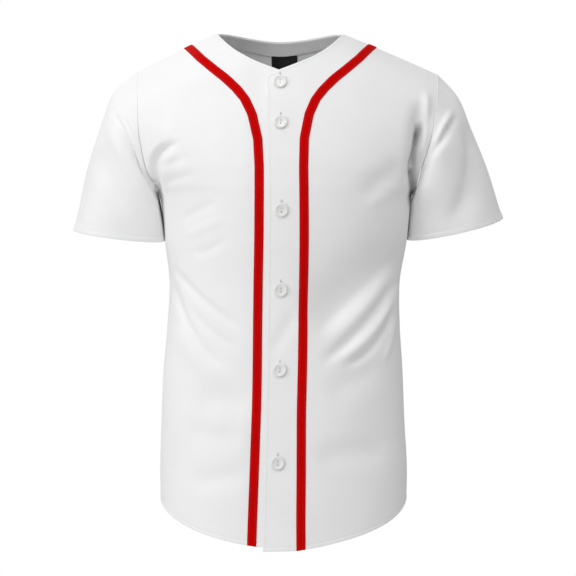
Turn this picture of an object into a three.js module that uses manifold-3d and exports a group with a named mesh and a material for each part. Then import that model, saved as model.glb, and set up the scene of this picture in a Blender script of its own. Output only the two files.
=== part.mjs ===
// A short-sleeved baseball jersey, filled out as worn, with nobody in it.
// Millimetres, +Z up. The front faces -Y and the wearer's left is +X.
// The origin is the middle of the neck opening, level with its back edge.
// Every piece is a cloth wall or a hard button, each in its own mesh.

import * as THREE from "three";
import { mergeVertices } from "three/addons/utils/BufferGeometryUtils.js";
import Module from "manifold-3d";

// Cloth and seams
const WALL = 1.4;
const SEAM_GAP = 0.3;
const SEAM_STEP = 0.5;
const PANEL_GAP = 0.4;
const OVERLAP_GAP = 0.7;
// The right front drops behind the left one between these distances from its free edge.
const TUCK_STARTS = 74;
const TUCK_ENDS = 44;
const BRAID_WIDTH = 13;
const BRAID_THICKNESS = 1.0;
const FACING_THICKNESS = 1.0;
const FACING_PULL = 1.2;
const LABEL_THICKNESS = 0.8;

// Neck, front edges and hem
const NECK_HALF_WIDTH = 92;
const NECK_DROP_FRONT = 60.5;
const NECK_SLOPE_FRONT = 0.4;
const NECK_BEND_FRONT = 4;
const NECK_DEPTH_BACK = 55;
const NECK_BEND_BACK = 0.9;
const OVERLAP_HALF_WIDTH = 19;
const HEM_BACK = -752;
const HEM_SIDE = -672;
const HEM_CURVE = 1.45;
const HEM_ARCH = 0.06;
const LABEL_LEFT = 27;
const LABEL_RIGHT = -14;
// Each front's side, and where its hem ends at the button line. The left one hangs a little lower.
const FRONTS = {
  left: { side: 1, hem: -738 },
  right: { side: -1, hem: -732.5 },
};

// Buttons
const BUTTON_RADIUS = 9.5;
const BUTTON_THICKNESS = 2.6;
const BUTTON_RIM = 2.4;
const BUTTON_DISH = 0.7;
const BUTTON_EDGE = 0.5;
const BUTTON_HOLE_RADIUS = 1.0;
const BUTTON_HOLE_SPREAD = 2.4;
const BUTTON_STANDOFF = 0.6;
const BUTTON_SEGMENTS = 18;
const BUTTON_HOLE_SEGMENTS = 8;
const BUTTON_HEIGHTS = [-79, -137, -260, -371, -483, -613];

// Grid steps of the panels: from the hem to the underarm, then on to the neck or shoulder, and across.
// The label's foot and the neck facing's foot are rows of the grid, at these shares of the way up.
const ROWS_BELOW_ARM = 18;
const ROWS_TO_LABEL = 12;
const LABEL_FOOT = 0.775;
const FACING_FOOT = 0.913;
const RISE = [
  ...Array.from({ length: ROWS_TO_LABEL }, (_, k) => (k / ROWS_TO_LABEL) * LABEL_FOOT),
  LABEL_FOOT,
  FACING_FOOT,
  (1 + FACING_FOOT) / 2,
  1,
];
const ROWS_BESIDE_ARM = RISE.length - 1;
const ROWS_TO_NECK_CORNER = 7;
const STEPS_EDGE_TO_BRAID = 5;
const STEPS_BRAID_TO_SIDE = 10;
const STEPS_SHOULDER_BACK = 7;
const STEPS_NECK_LEFT = 3;
const STEPS_LABEL = 2;
const STEPS_NECK_RIGHT = 4;
const STEPS_SLEEVE = 11;

const WHITE = new THREE.Color(0.93, 0.93, 0.93);
const RED = new THREE.Color(0.62, 0.01, 0.012);
const BLACK = new THREE.Color(0.02, 0.02, 0.022);
const RAD = Math.PI / 180;

// Horizontal sections of the body, from below the hem to the ridge of the shoulders.
// z: height at the centre; slope: share of the shoulder's slope; set: how far the section is set back;
// front, back: depths from there; right, left: where the wearer's right and left edges lie, from x = 0;
// centre: x of the button line; armhole: angle round the section, from the button line, where the cloth
// ends at the armhole, 90 at a side seam.
// The last row mirrors the one before the ridge, so that the cloth rounds over the shoulder.
const BODY = table(["z", "slope", "set", "front", "back", "right", "left", "centre", "armhole"], [
  [-770, 0.0, 0, 123, 121, -171, 181, -5, 90],
  [-700, 0.0, 0, 121, 119, -172, 182, -4.5, 90],
  [-630, 0.0, 0, 119, 115, -173.5, 184, -3, 90],
  [-555, 0.0, 0, 117, 108, -171.5, 180, -1.5, 90],
  [-485, 0.0, 0, 115, 102, -168.5, 177.5, 0, 90],
  [-420, 0.0, 0, 114, 99, -163, 173.5, 0.8, 90],
  [-360, 0.0, 0, 117, 104, -160, 173.5, 1.6, 90],
  [-305, 0.0, 0, 124, 113, -166, 183, 2.4, 90],
  [-265, 0.0, 0, 129, 119, -169.5, 187, 2.6, 90],
  [-237, 0.0, 0, 131, 121, -174.5, 191, 2.6, 90],
  [-218, 0.1, 1, 132, 120.5, -184, 201, 2.5, 80],
  [-185, 0.25, 3, 132, 118, -202, 219, 2.2, 70],
  [-141, 0.42, 6, 127, 112, -223, 241, 1.5, 62],
  [-90, 0.6, 11, 118, 101, -246, 267, 0.8, 55.2],
  [-38, 0.78, 17, 103, 83, -249, 273, 0.3, 55],
  [3, 0.92, 21, 62, 51, -239, 263, 0, 59.8],
  [25.5, 1.0, 22, 0, 0, -234, 260, 0, 62.2],
  [3, 0.92, 21, -62, -51, -239, 263, 0, 59.8],
]);
const UNDERARM_ROW = 9;
const RIDGE_ROW = 16;
// How squarely a section turns at the sides: 1 is an ellipse, and less is flatter in front.
const SECTION_SQUARENESS = 0.75;
// Normals are taken over these steps round and up the body.
const NORMAL_ANGLE_STEP = 0.4;
const NORMAL_ROW_STEP = 0.02;
const SHOULDERS = {
  left: { slope: 0.46, rounding: 60 },
  right: { slope: 0.56, rounding: 85 },
};

// The braid's middle line down each front: height, and distance from the button line.
const BRAID_LINE = table(["z", "out"], [
  [-800, 34.5],
  [-730, 34.5],
  [-540, 31.5],
  [-360, 32],
  [-200, 31],
  [-160, 32.5],
  [-125, 40],
  [-104, 49.5],
  [-89, 61],
  [-74, 76],
  [-58, 95],
  [-42, 112.5],
  [-24, 128],
  [-12, 138],
]);

// Sleeve sections from armhole to cuff: the ends of each oval as seen from the front, its middle y,
// its depths before and behind, and how far its front hangs below its ends.
const SLEEVE_COLUMNS = ["outerX", "outerZ", "innerX", "innerZ", "middleY", "front", "back", "dip"];
const SLEEVES = {
  left: table(SLEEVE_COLUMNS, [
    [230, -59, 192.3, -237, 8, 74, 68, 0],
    [259.5, -91, 190.1, -253, 11, 77, 71, 3],
    [278, -133, 187.7, -268, 15, 77, 72, 6],
    [300.5, -190, 185.9, -282, 20, 75, 72, 8],
    [326.5, -265, 184.3, -297, 26, 71, 71, 10],
  ]),
  right: table(SLEEVE_COLUMNS, [
    [-207, -58, -175.8, -237, 8, 74, 68, 0],
    [-242, -85, -172.7, -253, 11, 77, 71, 3],
    [-261, -128, -170.1, -269, 15, 77, 72, 5],
    [-280.5, -192, -167.9, -285, 20, 75, 72, 6.5],
    [-302.5, -283, -166.3, -300, 26, 71, 71, 7.5],
  ]),
};
// The share of a sleeve's length over which its ovals are drawn to the armhole: at the underarm and above.
const UNDERARM_FADE = 0.14;
const ARMHOLE_FADE = 0.45;
// How squarely each oval turns at the front of the underarm: 1 is an ellipse, and less is flatter in front.
const SLEEVE_CORNER = { left: 0.8, right: 0.3 };

// Folds, as seen from the front or the back: a line through three points, its half width, its height, less
// than 0 for a trough, and its lean: the right-hand side of the line is narrower by this share of the half
// width, and the left-hand side wider.
const FOLD_COLUMNS = ["x0", "z0", "x1", "z1", "x2", "z2", "width", "height", "lean"];
// The straight pieces a fold's line is measured by, and the share of its length over which each end tapers.
const FOLD_PIECES = 14;
const FOLD_TAPER = 0.3;
const FRONT_FOLDS = rows(FOLD_COLUMNS, [
  [-138, -163, -200, -168, -166, -258, 9, -7, 0],
  [-142, -275, -112, -256, -82, -246, 9, -2, 0],
  [-155, -346, -136, -442, -72, -486, 9, -4, 0],
  [-158, -330, -120, -387, -34, -436, 9, -3.5, 0],
  [-148, -410, -128, -478, -60, -506, 14, 3, 0],
  [200, -88, 192, -170, 176, -280, 11, -22, 0],
  [208, -80, 210, -140, 203, -190, 9, 5, 0],
  [182, -192, 150, -208, 112, -244, 15, -3.5, 0],
  [180, -288, 112, -371, 30, -462, 32, -15, -0.5],
  [170, -334, 118, -405, 40, -484, 9, -7, 0],
  [164, -386, 124, -440, 54, -488, 9, -6, 0],
  [-124, -528, -80, -522, -36, -534, 20, -3.5, 0],
  [-132, -566, -100, -582, -46, -574, 16, -2.5, 0],
  [-128, -642, -90, -636, -40, -628, 15, -3.5, 0],
  [60, -520, 110, -500, 150, -470, 18, -3, 0],
  [40, -614, 105, -590, 166, -604, 18, -3.5, 0],
]);
const BACK_FOLDS = rows(FOLD_COLUMNS, [
  [192, -120, 182, -185, 172, -285, 10, -16, 0],
  [-176, -120, -166, -185, -158, -285, 10, -14, 0],
  [170, -250, 130, -232, 84, -190, 12, -4, 0.2],
  [-154, -248, -120, -226, -78, -186, 12, -4, -0.2],
  [164, -360, 100, -404, 24, -398, 12, -6, 0.3],
  [-154, -366, -90, -414, -14, -402, 11, -5.5, -0.3],
  [158, -392, 100, -432, 40, -428, 9, 4, 0],
  [-146, -400, -85, -440, -24, -432, 9, 4, 0],
  [148, -430, 84, -466, 6, -456, 9, -5, 0],
  [-140, -438, -80, -474, -12, -466, 10, -4.5, 0],
  [136, -480, 90, -500, 30, -494, 14, 3, 0],
  [90, -560, 104, -640, 96, -720, 22, 4, 0],
  [-84, -540, -100, -640, -92, -720, 24, 4.5, 0],
  [20, -580, 6, -640, 14, -700, 20, -3, 0],
]);
const SLEEVE_FOLDS = {
  left: rows(FOLD_COLUMNS, [
    [252, -108, 226, -146, 203, -182, 7, 4, 0],
    [258, -118, 233, -154, 208, -190, 7, -4, 0],
    [264, -126, 292, -200, 234, -284, 11, -3.5, 0],
    [284, -180, 291, -225, 266, -280, 11, 3, 0],
  ]),
  right: rows(FOLD_COLUMNS, [
    [-242, -108, -207, -182, -166, -252, 7, -6, 0],
    [-252, -126, -220, -190, -180, -256, 10, 4, 0],
    [-262, -160, -246, -220, -214, -266, 13, -3, 0],
  ]),
};

// Reads a table into named columns, which section() then interpolates.
function table(names, values) {
  return Object.fromEntries(names.map((name, c) => [name, values.map((row) => row[c])]));
}

// Reads a table into a list of rows with named values.
function rows(names, values) {
  return values.map((row) => Object.fromEntries(names.map((name, c) => [name, row[c]])));
}

// A Catmull-Rom curve through a column's values, one unit of position a row.
function section(values, position) {
  const last = values.length - 1;
  const start = Math.min(Math.max(Math.floor(position), 0), last - 1);
  const at = (k) => {
    if (k < 0) return 2 * values[0] - values[1];
    if (k > last) return 2 * values[last] - values[last - 1];
    return values[k];
  };
  const [a, b, c, d] = [at(start - 1), at(start), at(start + 1), at(start + 2)];
  const t = position - start;
  return b + 0.5 * t * (c - a + t * (2 * a - 5 * b + 4 * c - d + t * (3 * (b - c) + d - a)));
}

// The straight interpolation of column y at a value of column x, which rises down the table.
function lookUp(xs, ys, x) {
  let k = 1;
  while (k < xs.length - 1 && xs[k] < x) k += 1;
  const t = (x - xs[k - 1]) / (xs[k] - xs[k - 1]);
  return ys[k - 1] + (ys[k] - ys[k - 1]) * t;
}

function lerp(a, b, t) {
  return a + (b - a) * t;
}

function smoothStep(from, to, value) {
  const t = Math.min(Math.max((value - from) / (to - from), 0), 1);
  return t * t * (3 - 2 * t);
}

// The place between low and high where a rising function passes zero.
function solve(rising, low, high) {
  for (let k = 0; k < 50; k += 1) {
    const middle = (low + high) / 2;
    if (rising(middle) < 0) low = middle;
    else high = middle;
  }
  return (low + high) / 2;
}

// The height that the folds add at a point, seen from the front or the back: each adds its height times a
// taper towards its ends, times exp(-(distance / width)^2), with the distance to the nearest point of its line.
function foldHeight(folds, x, z) {
  let sum = 0;
  for (const f of folds) {
    const pointAt = (t) => [
      (1 - t) ** 2 * f.x0 + 2 * t * (1 - t) * f.x1 + t * t * f.x2,
      (1 - t) ** 2 * f.z0 + 2 * t * (1 - t) * f.z1 + t * t * f.z2,
    ];
    let best = Infinity;
    let place = 0;
    let turn = 0;
    for (let k = 0; k < FOLD_PIECES; k += 1) {
      const [px, pz] = pointAt(k / FOLD_PIECES);
      const [qx, qz] = pointAt((k + 1) / FOLD_PIECES);
      const [wayX, wayZ] = [qx - px, qz - pz];
      const share = ((x - px) * wayX + (z - pz) * wayZ) / (wayX ** 2 + wayZ ** 2);
      const along = Math.min(Math.max(share, 0), 1);
      const [missX, missZ] = [x - px - along * wayX, z - pz - along * wayZ];
      const distance = Math.hypot(missX, missZ);
      if (distance < best) {
        best = distance;
        place = (k + along) / FOLD_PIECES;
        turn = wayX * missZ - wayZ * missX;
      }
    }
    const width = f.width * (1 + f.lean * Math.sign(turn));
    const taper = smoothStep(0, FOLD_TAPER, place) * smoothStep(1, 1 - FOLD_TAPER, place);
    sum += f.height * taper * Math.exp(-((best / width) ** 2));
  }
  return sum;
}

// How far the shoulder line lies below its height at the centre.
function shoulderDrop(x) {
  const { slope, rounding } = x < 0 ? SHOULDERS.right : SHOULDERS.left;
  return slope * (Math.hypot(x, rounding) - rounding);
}

function armholeAngle(row) {
  return Math.min(section(BODY.armhole, row), 90);
}

// The body without folds, at an angle round a section and a row of the table.
function bodyPoint(angle, row) {
  const across = Math.sin(angle * RAD);
  const along = Math.cos(angle * RAD);
  const centre = section(BODY.centre, row);
  const edge = section(across < 0 ? BODY.right : BODY.left, row);
  const depth = along < 0 ? -section(BODY.back, row) : section(BODY.front, row);
  const x = centre + Math.abs(edge - centre) * across;
  const y = section(BODY.set, row) - depth * Math.abs(along) ** SECTION_SQUARENESS;
  const z = section(BODY.z, row) - section(BODY.slope, row) * shoulderDrop(x);
  return new THREE.Vector3(x, y, z);
}

function bodyNormal(angle, row) {
  const [turnStep, rowStep] = [NORMAL_ANGLE_STEP, NORMAL_ROW_STEP];
  const turn = bodyPoint(angle + turnStep, row).sub(bodyPoint(angle - turnStep, row));
  const rise = bodyPoint(angle, row + rowStep).sub(bodyPoint(angle, row - rowStep));
  return turn.cross(rise).normalize();
}

// The cloth's outer face on the body, with its folds, which die out at the side seams.
function bodyCloth(angle, row) {
  const point = bodyPoint(angle, row);
  const normal = bodyNormal(angle, row);
  const along = Math.cos(angle * RAD);
  const folds = along < 0 ? BACK_FOLDS : FRONT_FOLDS;
  const facing = smoothStep(0, 0.35, Math.abs(along)) * smoothStep(RIDGE_ROW, RIDGE_ROW - 2, row);
  point.addScaledVector(normal, facing * foldHeight(folds, point.x, point.z));
  return { point, normal };
}

// The angle at which a section passes x, in front.
function angleOfX(x, row) {
  const centre = section(BODY.centre, row);
  const edge = section(x < centre ? BODY.right : BODY.left, row);
  return Math.asin((x - centre) / Math.abs(edge - centre)) / RAD;
}

// The row at which the hem crosses an angle: lowest at the middle and highest at the side seams.
function hemRow(angle, middle) {
  const fromSide = 1 - Math.asin(Math.abs(Math.sin(angle * RAD))) / (90 * RAD);
  const arched = (Math.hypot(fromSide, HEM_ARCH) - HEM_ARCH) / (Math.hypot(1, HEM_ARCH) - HEM_ARCH);
  const z = middle + (HEM_SIDE - middle) * (1 - arched) ** HEM_CURVE;
  return solve((row) => section(BODY.z, row) - z, 0, UNDERARM_ROW);
}

// How far a point lies past the front neckline: a shallow V, which each front carries past the button line.
function pastFrontNeckline(point, side) {
  const out = (point.x * side) / NECK_HALF_WIDTH;
  const top = section(BODY.z, RIDGE_ROW) - shoulderDrop(side * NECK_HALF_WIDTH);
  const slope = NECK_SLOPE_FRONT * NECK_HALF_WIDTH;
  const bend = (top + NECK_DROP_FRONT - slope) * Math.max(out, 0) ** NECK_BEND_FRONT;
  return point.z + NECK_DROP_FRONT - slope * out - bend;
}

// How far a point lies past the back neckline, which is rounded as seen from above.
function pastBackNeckline(point) {
  const inside = Math.max(1 - (point.x / NECK_HALF_WIDTH) ** 2, 0);
  const edge = section(BODY.set, RIDGE_ROW) + NECK_DEPTH_BACK * inside ** NECK_BEND_BACK;
  return edge - point.y;
}

// Angles of the braid's two edges at a row: its width is measured square to the line it follows.
function braidAngles(side, row) {
  const middleAt = (r) =>
    solve((angle) => {
      const point = bodyPoint(side * angle, r);
      const out = Math.abs(point.x - section(BODY.centre, r));
      return out - lookUp(BRAID_LINE.z, BRAID_LINE.out, point.z);
    }, 0, 60);
  const angle = middleAt(row);
  const step = 0.15;
  const path = bodyPoint(side * middleAt(row + step), row + step).sub(
    bodyPoint(side * middleAt(row - step), row - step),
  );
  const turn = bodyPoint(side * (angle + 0.5), row).sub(bodyPoint(side * (angle - 0.5), row));
  const half = ((BRAID_WIDTH / 2) * path.length()) / turn.clone().cross(path).length();
  return { inner: side * (angle - half), outer: side * (angle + half) };
}

// A column of places, each an angle and a row, from the hem to the underarm and on to its top.
function columnOfPlaces(angleAt, hem, top = RIDGE_ROW) {
  const low = hemRow(angleAt(hemRow(angleAt(0), hem)), hem);
  const below = Array.from({ length: ROWS_BELOW_ARM }, (_, k) => lerp(low, UNDERARM_ROW, k / ROWS_BELOW_ARM));
  const beside = RISE.map((share) => lerp(UNDERARM_ROW, top, share));
  return [...below, ...beside].map((row) => ({ angle: angleAt(row), row }));
}

// Columns spread evenly from one side of a band up to, but not at, the other.
function band(steps, from, to) {
  return Array.from({ length: steps }, (_, k) => (row) => lerp(from(row), to(row), k / steps));
}

// The free edge of a front: up beside the buttons to the neck corner, then along the neckline.
function freeEdge(side, hem) {
  const buttonEdge = (row) => angleOfX(section(BODY.centre, row) - side * OVERLAP_HALF_WIDTH, row);
  const cornerAt = (angleAt) =>
    solve((row) => pastFrontNeckline(bodyPoint(angleAt(row), row), side), UNDERARM_ROW + 2, RIDGE_ROW);
  const corner = cornerAt(buttonEdge);
  const places = columnOfPlaces(buttonEdge, hem, corner).slice(0, ROWS_BELOW_ARM);
  for (let k = 0; k <= ROWS_TO_NECK_CORNER; k += 1) {
    const row = lerp(UNDERARM_ROW, corner, k / ROWS_TO_NECK_CORNER);
    places.push({ angle: buttonEdge(row), row });
  }
  const steps = ROWS_BESIDE_ARM - ROWS_TO_NECK_CORNER;
  for (let k = 1; k < steps; k += 1) {
    const share = Math.sin((k / steps) * 90 * RAD);
    const x = side * lerp(-OVERLAP_HALF_WIDTH, NECK_HALF_WIDTH, share);
    const row = cornerAt((r) => angleOfX(x, r));
    places.push({ angle: angleOfX(x, row), row });
  }
  places.push({ angle: angleOfX(side * NECK_HALF_WIDTH, RIDGE_ROW), row: RIDGE_ROW });
  return places;
}

// The columns of a front, from its free edge past the braid to the side seam and armhole.
function frontColumns(side, hem) {
  const inner = (row) => braidAngles(side, row).inner;
  const outer = (row) => braidAngles(side, row).outer;
  const armhole = (row) => side * armholeAngle(row);
  const edge = freeEdge(side, hem);
  const braid = columnOfPlaces(inner, hem);
  const nearEdge = Array.from({ length: STEPS_EDGE_TO_BRAID }, (_, c) =>
    edge.map(({ angle, row }, k) => ({
      angle: lerp(angle, braid[k].angle, c / STEPS_EDGE_TO_BRAID),
      row: lerp(row, braid[k].row, c / STEPS_EDGE_TO_BRAID),
    })),
  );
  const beyond = [...band(STEPS_BRAID_TO_SIDE, outer, armhole), armhole];
  return [...nearEdge, braid, ...beyond.map((angleAt) => columnOfPlaces(angleAt, hem))];
}

// The row at which a column of the back meets the neckline, or the ridge if it passes beside the neck.
function backTop(angleAt) {
  const ridge = bodyPoint(angleAt(RIDGE_ROW), RIDGE_ROW);
  if (Math.abs(ridge.x) >= NECK_HALF_WIDTH - 0.01) return RIDGE_ROW;
  const past = (row) => pastBackNeckline(bodyPoint(angleAt(row), row));
  return solve(past, UNDERARM_ROW + 2, RIDGE_ROW);
}

// The columns of the back, from the left side seam past the neck and the label to the right one.
function backColumns() {
  const through = (x) => (row) => {
    const share = angleOfX(x, RIDGE_ROW) / armholeAngle(RIDGE_ROW);
    return 180 - share * armholeAngle(row);
  };
  const left = (row) => 180 - armholeAngle(row);
  const right = (row) => 180 + armholeAngle(row);
  const columns = [
    ...band(STEPS_SHOULDER_BACK, left, through(NECK_HALF_WIDTH)),
    ...band(STEPS_NECK_LEFT, through(NECK_HALF_WIDTH), through(LABEL_LEFT)),
    ...band(STEPS_LABEL, through(LABEL_LEFT), through(LABEL_RIGHT)),
    ...band(STEPS_NECK_RIGHT, through(LABEL_RIGHT), through(-NECK_HALF_WIDTH)),
    ...band(STEPS_SHOULDER_BACK, through(-NECK_HALF_WIDTH), right),
    right,
  ];
  return columns.map((angleAt) => columnOfPlaces(angleAt, HEM_BACK, backTop(angleAt)));
}

// A panel's outer points and normals at its columns of places. It can be tucked in by its distance from
// the button line.
function panelGrid(columns, tuck = () => 0) {
  return columns.map((column) =>
    column.map(({ angle, row }) => {
      const { point, normal } = bodyCloth(angle, row);
      point.addScaledVector(normal, -tuck(point.x - section(BODY.centre, row)));
      return { point, normal };
    }),
  );
}

// Draws a grid's edge towards the next column or row, to leave the seam's gap.
function pullIn(grid, distance, edges) {
  const last = grid.length - 1;
  const top = grid[0].length - 1;
  const shift = (cell, inward) => {
    const way = inward.point.clone().sub(cell.point).normalize();
    cell.point.addScaledVector(way, distance);
  };
  if (edges.includes("first")) grid[0].forEach((cell, k) => shift(cell, grid[1][k]));
  if (edges.includes("last")) grid[last].forEach((cell, k) => shift(cell, grid[last - 1][k]));
  if (edges.includes("top")) grid.forEach((column) => shift(column[top], column[top - 1]));
  if (edges.includes("bottom")) grid.forEach((column) => shift(column[0], column[1]));
  return grid;
}

// A closed wall between two faces of a grid, each at its own height along the normals. A ring closes on itself.
function wall(grid, high, low, ring = false) {
  const columns = grid.length;
  const count = grid[0].length;
  const positions = [];
  for (const height of [high, low]) {
    for (const column of grid) {
      for (const cell of column) {
        const p = cell.point.clone().addScaledVector(cell.normal, height);
        positions.push(p.x, p.y, p.z);
      }
    }
  }
  const faces = [];
  const at = (face, c, r) => face * columns * count + (c % columns) * count + r;
  const quad = (a, b, c, d) => faces.push(a, b, c, a, c, d);
  const across = ring ? columns : columns - 1;
  for (let c = 0; c < across; c += 1) {
    const [here, next] = [grid[c], grid[(c + 1) % columns]];
    for (let r = 0; r < count - 1; r += 1) {
      const rising = here[r].point.distanceTo(next[r + 1].point);
      const falling = next[r].point.distanceTo(here[r + 1].point);
      const corners = [[c, r], [c + 1, r], [c + 1, r + 1], [c, r + 1]];
      if (falling < rising) corners.push(corners.shift());
      quad(...corners.map(([i, j]) => at(0, i, j)));
      quad(...[0, 3, 2, 1].map((k) => at(1, ...corners[k])));
    }
    quad(at(1, c, 0), at(1, c + 1, 0), at(0, c + 1, 0), at(0, c, 0));
    quad(at(0, c, count - 1), at(0, c + 1, count - 1), at(1, c + 1, count - 1), at(1, c, count - 1));
  }
  if (!ring) {
    for (let r = 0; r < count - 1; r += 1) {
      quad(at(0, 0, r), at(0, 0, r + 1), at(1, 0, r + 1), at(1, 0, r));
      quad(at(0, columns - 1, r), at(1, columns - 1, r), at(1, columns - 1, r + 1), at(0, columns - 1, r + 1));
    }
  }
  const geometry = new THREE.BufferGeometry();
  geometry.setAttribute("position", new THREE.Float32BufferAttribute(positions, 3));
  geometry.setIndex(faces);
  geometry.computeVertexNormals();
  return geometry;
}

// A front, and the braid made from the same points. The right front tucks under the left one.
function makeFront(front) {
  const { side, hem } = front;
  const columns = frontColumns(side, hem);
  const under = side > 0 ? 0 : WALL + OVERLAP_GAP;
  const tuck = (out) => under * smoothStep(TUCK_STARTS, TUCK_ENDS, OVERLAP_HALF_WIDTH - out);
  const ordered = side > 0 ? columns : columns.slice().reverse();
  const grid = panelGrid(ordered, tuck);
  const seam = side > 0 ? "last" : "first";
  const first = side > 0 ? STEPS_EDGE_TO_BRAID : grid.length - 2 - STEPS_EDGE_TO_BRAID;
  pullIn(grid, SEAM_GAP / 2, [seam, "top"]);
  return { grid, braid: grid.slice(first, first + 2) };
}

// Round the armhole from the underarm, up the front, over the ridge and down the back.
function armholeLoop(side) {
  const loop = [];
  for (let k = 0; k < 2 * ROWS_BESIDE_ARM; k += 1) {
    const up = k <= ROWS_BESIDE_ARM ? k : 2 * ROWS_BESIDE_ARM - k;
    const row = lerp(UNDERARM_ROW, RIDGE_ROW, RISE[up]);
    const angle = k <= ROWS_BESIDE_ARM ? armholeAngle(row) : 180 - armholeAngle(row);
    loop.push(bodyCloth(side * angle, row));
  }
  return loop;
}

// The direction from an armhole's edge away from the body's cloth.
function awayFromBody(loop, c, side) {
  const before = loop[(c + loop.length - 1) % loop.length].point;
  const after = loop[(c + 1) % loop.length].point;
  const along = after.clone().sub(before).normalize();
  return along.cross(loop[c].normal).multiplyScalar(side);
}

// A point of a sleeve's oval sections: turn 0 at the underarm, 0.5 at the top, front first. The front turns
// squarely at the underarm, by the corner's share.
function sleeveOval(sections, corner, turn, along) {
  const at = (name) => section(sections[name], along * (sections.dip.length - 1));
  const lift = -Math.cos(turn * 2 * Math.PI);
  const depth = Math.sin(turn * 2 * Math.PI);
  const x = lerp(at("innerX"), at("outerX"), (1 + lift) / 2);
  const z = lerp(at("innerZ"), at("outerZ"), (1 + lift) / 2);
  const square = depth > 0 ? lerp(corner, 1, (1 + lift) / 2) : 1;
  const bulge = Math.sign(depth) * Math.abs(depth) ** square;
  const y = at("middleY") - bulge * (depth > 0 ? at("front") : at("back"));
  return new THREE.Vector3(x, y, z - at("dip") * depth);
}

// A grid's normals, from each point's neighbours. Its columns close into a ring.
function ringNormals(points, side) {
  const last = points[0].length - 1;
  return points.map((column, c) =>
    column.map((_, r) => {
      const next = points[(c + 1) % points.length][r];
      const round = next.clone().sub(points[(c + points.length - 1) % points.length][r]);
      const along = column[Math.min(r + 1, last)].clone().sub(column[Math.max(r - 1, 0)]);
      return along.cross(round).multiplyScalar(side).normalize();
    }),
  );
}

// A sleeve: oval sections drawn to the armhole at their upper end, with their folds.
function makeSleeve(name, side) {
  const oval = (turn, along) => sleeveOval(SLEEVES[name], SLEEVE_CORNER[name], turn, along);
  const loop = armholeLoop(side);
  const ridge = loop[ROWS_BESIDE_ARM].point;
  const turns = loop.map(({ point }, c) => {
    const share = (point.z - loop[0].point.z) / (ridge.z - loop[0].point.z);
    const turn = Math.acos(1 - 2 * share) / (2 * Math.PI);
    return c <= ROWS_BESIDE_ARM ? turn : 1 - turn;
  });
  const points = loop.map(({ point, normal }, c) => {
    const seam = point.clone().addScaledVector(normal, SEAM_STEP);
    const miss = seam.sub(oval(turns[c], 0));
    const reach = lerp(UNDERARM_FADE, ARMHOLE_FADE, smoothStep(0, 0.2, turns[c]));
    return Array.from({ length: STEPS_SLEEVE + 1 }, (_, r) => {
      const along = r / STEPS_SLEEVE;
      const fade = smoothStep(reach, 0, along);
      return oval(turns[c], along).addScaledVector(miss, fade);
    });
  });
  const normals = ringNormals(points, side);
  const grid = points.map((column, c) => {
    const front = smoothStep(0.1, 0.6, Math.sin(turns[c] * 2 * Math.PI));
    const cells = column.map((point, r) => {
      const normal = normals[c][r];
      const body = smoothStep(0, 0.2, r / STEPS_SLEEVE);
      point.addScaledVector(normal, front * body * foldHeight(SLEEVE_FOLDS[name], point.x, point.z));
      return { point, normal };
    });
    const away = awayFromBody(loop, c, side);
    const first = cells[0].normal;
    first.addScaledVector(away, -Math.max(first.dot(away), 0)).normalize();
    return side > 0 ? cells.reverse() : cells;
  });
  return pullIn(grid, SEAM_GAP / 2, [side > 0 ? "top" : "bottom"]);
}

const wasm = await Module();
wasm.setup();

function toSolid(geometry) {
  const bare = geometry.clone();
  bare.deleteAttribute("normal");
  bare.deleteAttribute("uv");
  const merged = mergeVertices(bare);
  return new wasm.Manifold(
    new wasm.Mesh({
      numProp: 3,
      vertProperties: merged.attributes.position.array,
      triVerts: new Uint32Array(merged.index.array),
    }),
  );
}

function toGeometry(solid) {
  const { vertProperties, triVerts } = solid.getMesh();
  const geometry = new THREE.BufferGeometry();
  geometry.setAttribute("position", new THREE.Float32BufferAttribute(vertProperties, 3));
  geometry.setIndex(Array.from(triVerts));
  geometry.computeVertexNormals();
  return geometry;
}

// A button on its axis y, its face towards -y: a dished disc with a rim and two holes, one above the other.
function buttonGeometry() {
  const dish = BUTTON_THICKNESS - BUTTON_DISH;
  const profile = [
    [0, 0],
    [BUTTON_RADIUS - BUTTON_EDGE, 0],
    [BUTTON_RADIUS, BUTTON_EDGE],
    [BUTTON_RADIUS, BUTTON_THICKNESS - BUTTON_EDGE],
    [BUTTON_RADIUS - BUTTON_EDGE, BUTTON_THICKNESS],
    [BUTTON_RADIUS - BUTTON_RIM, BUTTON_THICKNESS],
    [BUTTON_RADIUS - BUTTON_RIM - BUTTON_DISH, dish],
    [0, dish],
  ].map(([r, h]) => new THREE.Vector2(r, h));
  let solid = toSolid(new THREE.LatheGeometry(profile, BUTTON_SEGMENTS));
  for (const spread of [-BUTTON_HOLE_SPREAD, BUTTON_HOLE_SPREAD]) {
    const drill = new THREE.CylinderGeometry(
      BUTTON_HOLE_RADIUS,
      BUTTON_HOLE_RADIUS,
      4 * BUTTON_THICKNESS,
      BUTTON_HOLE_SEGMENTS,
    );
    solid = solid.subtract(toSolid(drill.translate(0, 0, spread)));
  }
  return toGeometry(solid);
}

function finish(name, color, roughness) {
  const material = new THREE.MeshStandardMaterial({ color, roughness, metalness: 0 });
  material.name = name;
  return material;
}

const jersey = new THREE.Group();

function add(name, geometry, material) {
  const mesh = new THREE.Mesh(geometry, material);
  mesh.name = name;
  jersey.add(mesh);
  return mesh;
}

const whiteKnit = finish("white knit", WHITE, 0.8);
const redBraid = finish("red braid", RED, 0.7);
const labelCloth = finish("label cloth", BLACK, 0.8);
const buttonPlastic = finish("button plastic", WHITE, 0.3);

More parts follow.
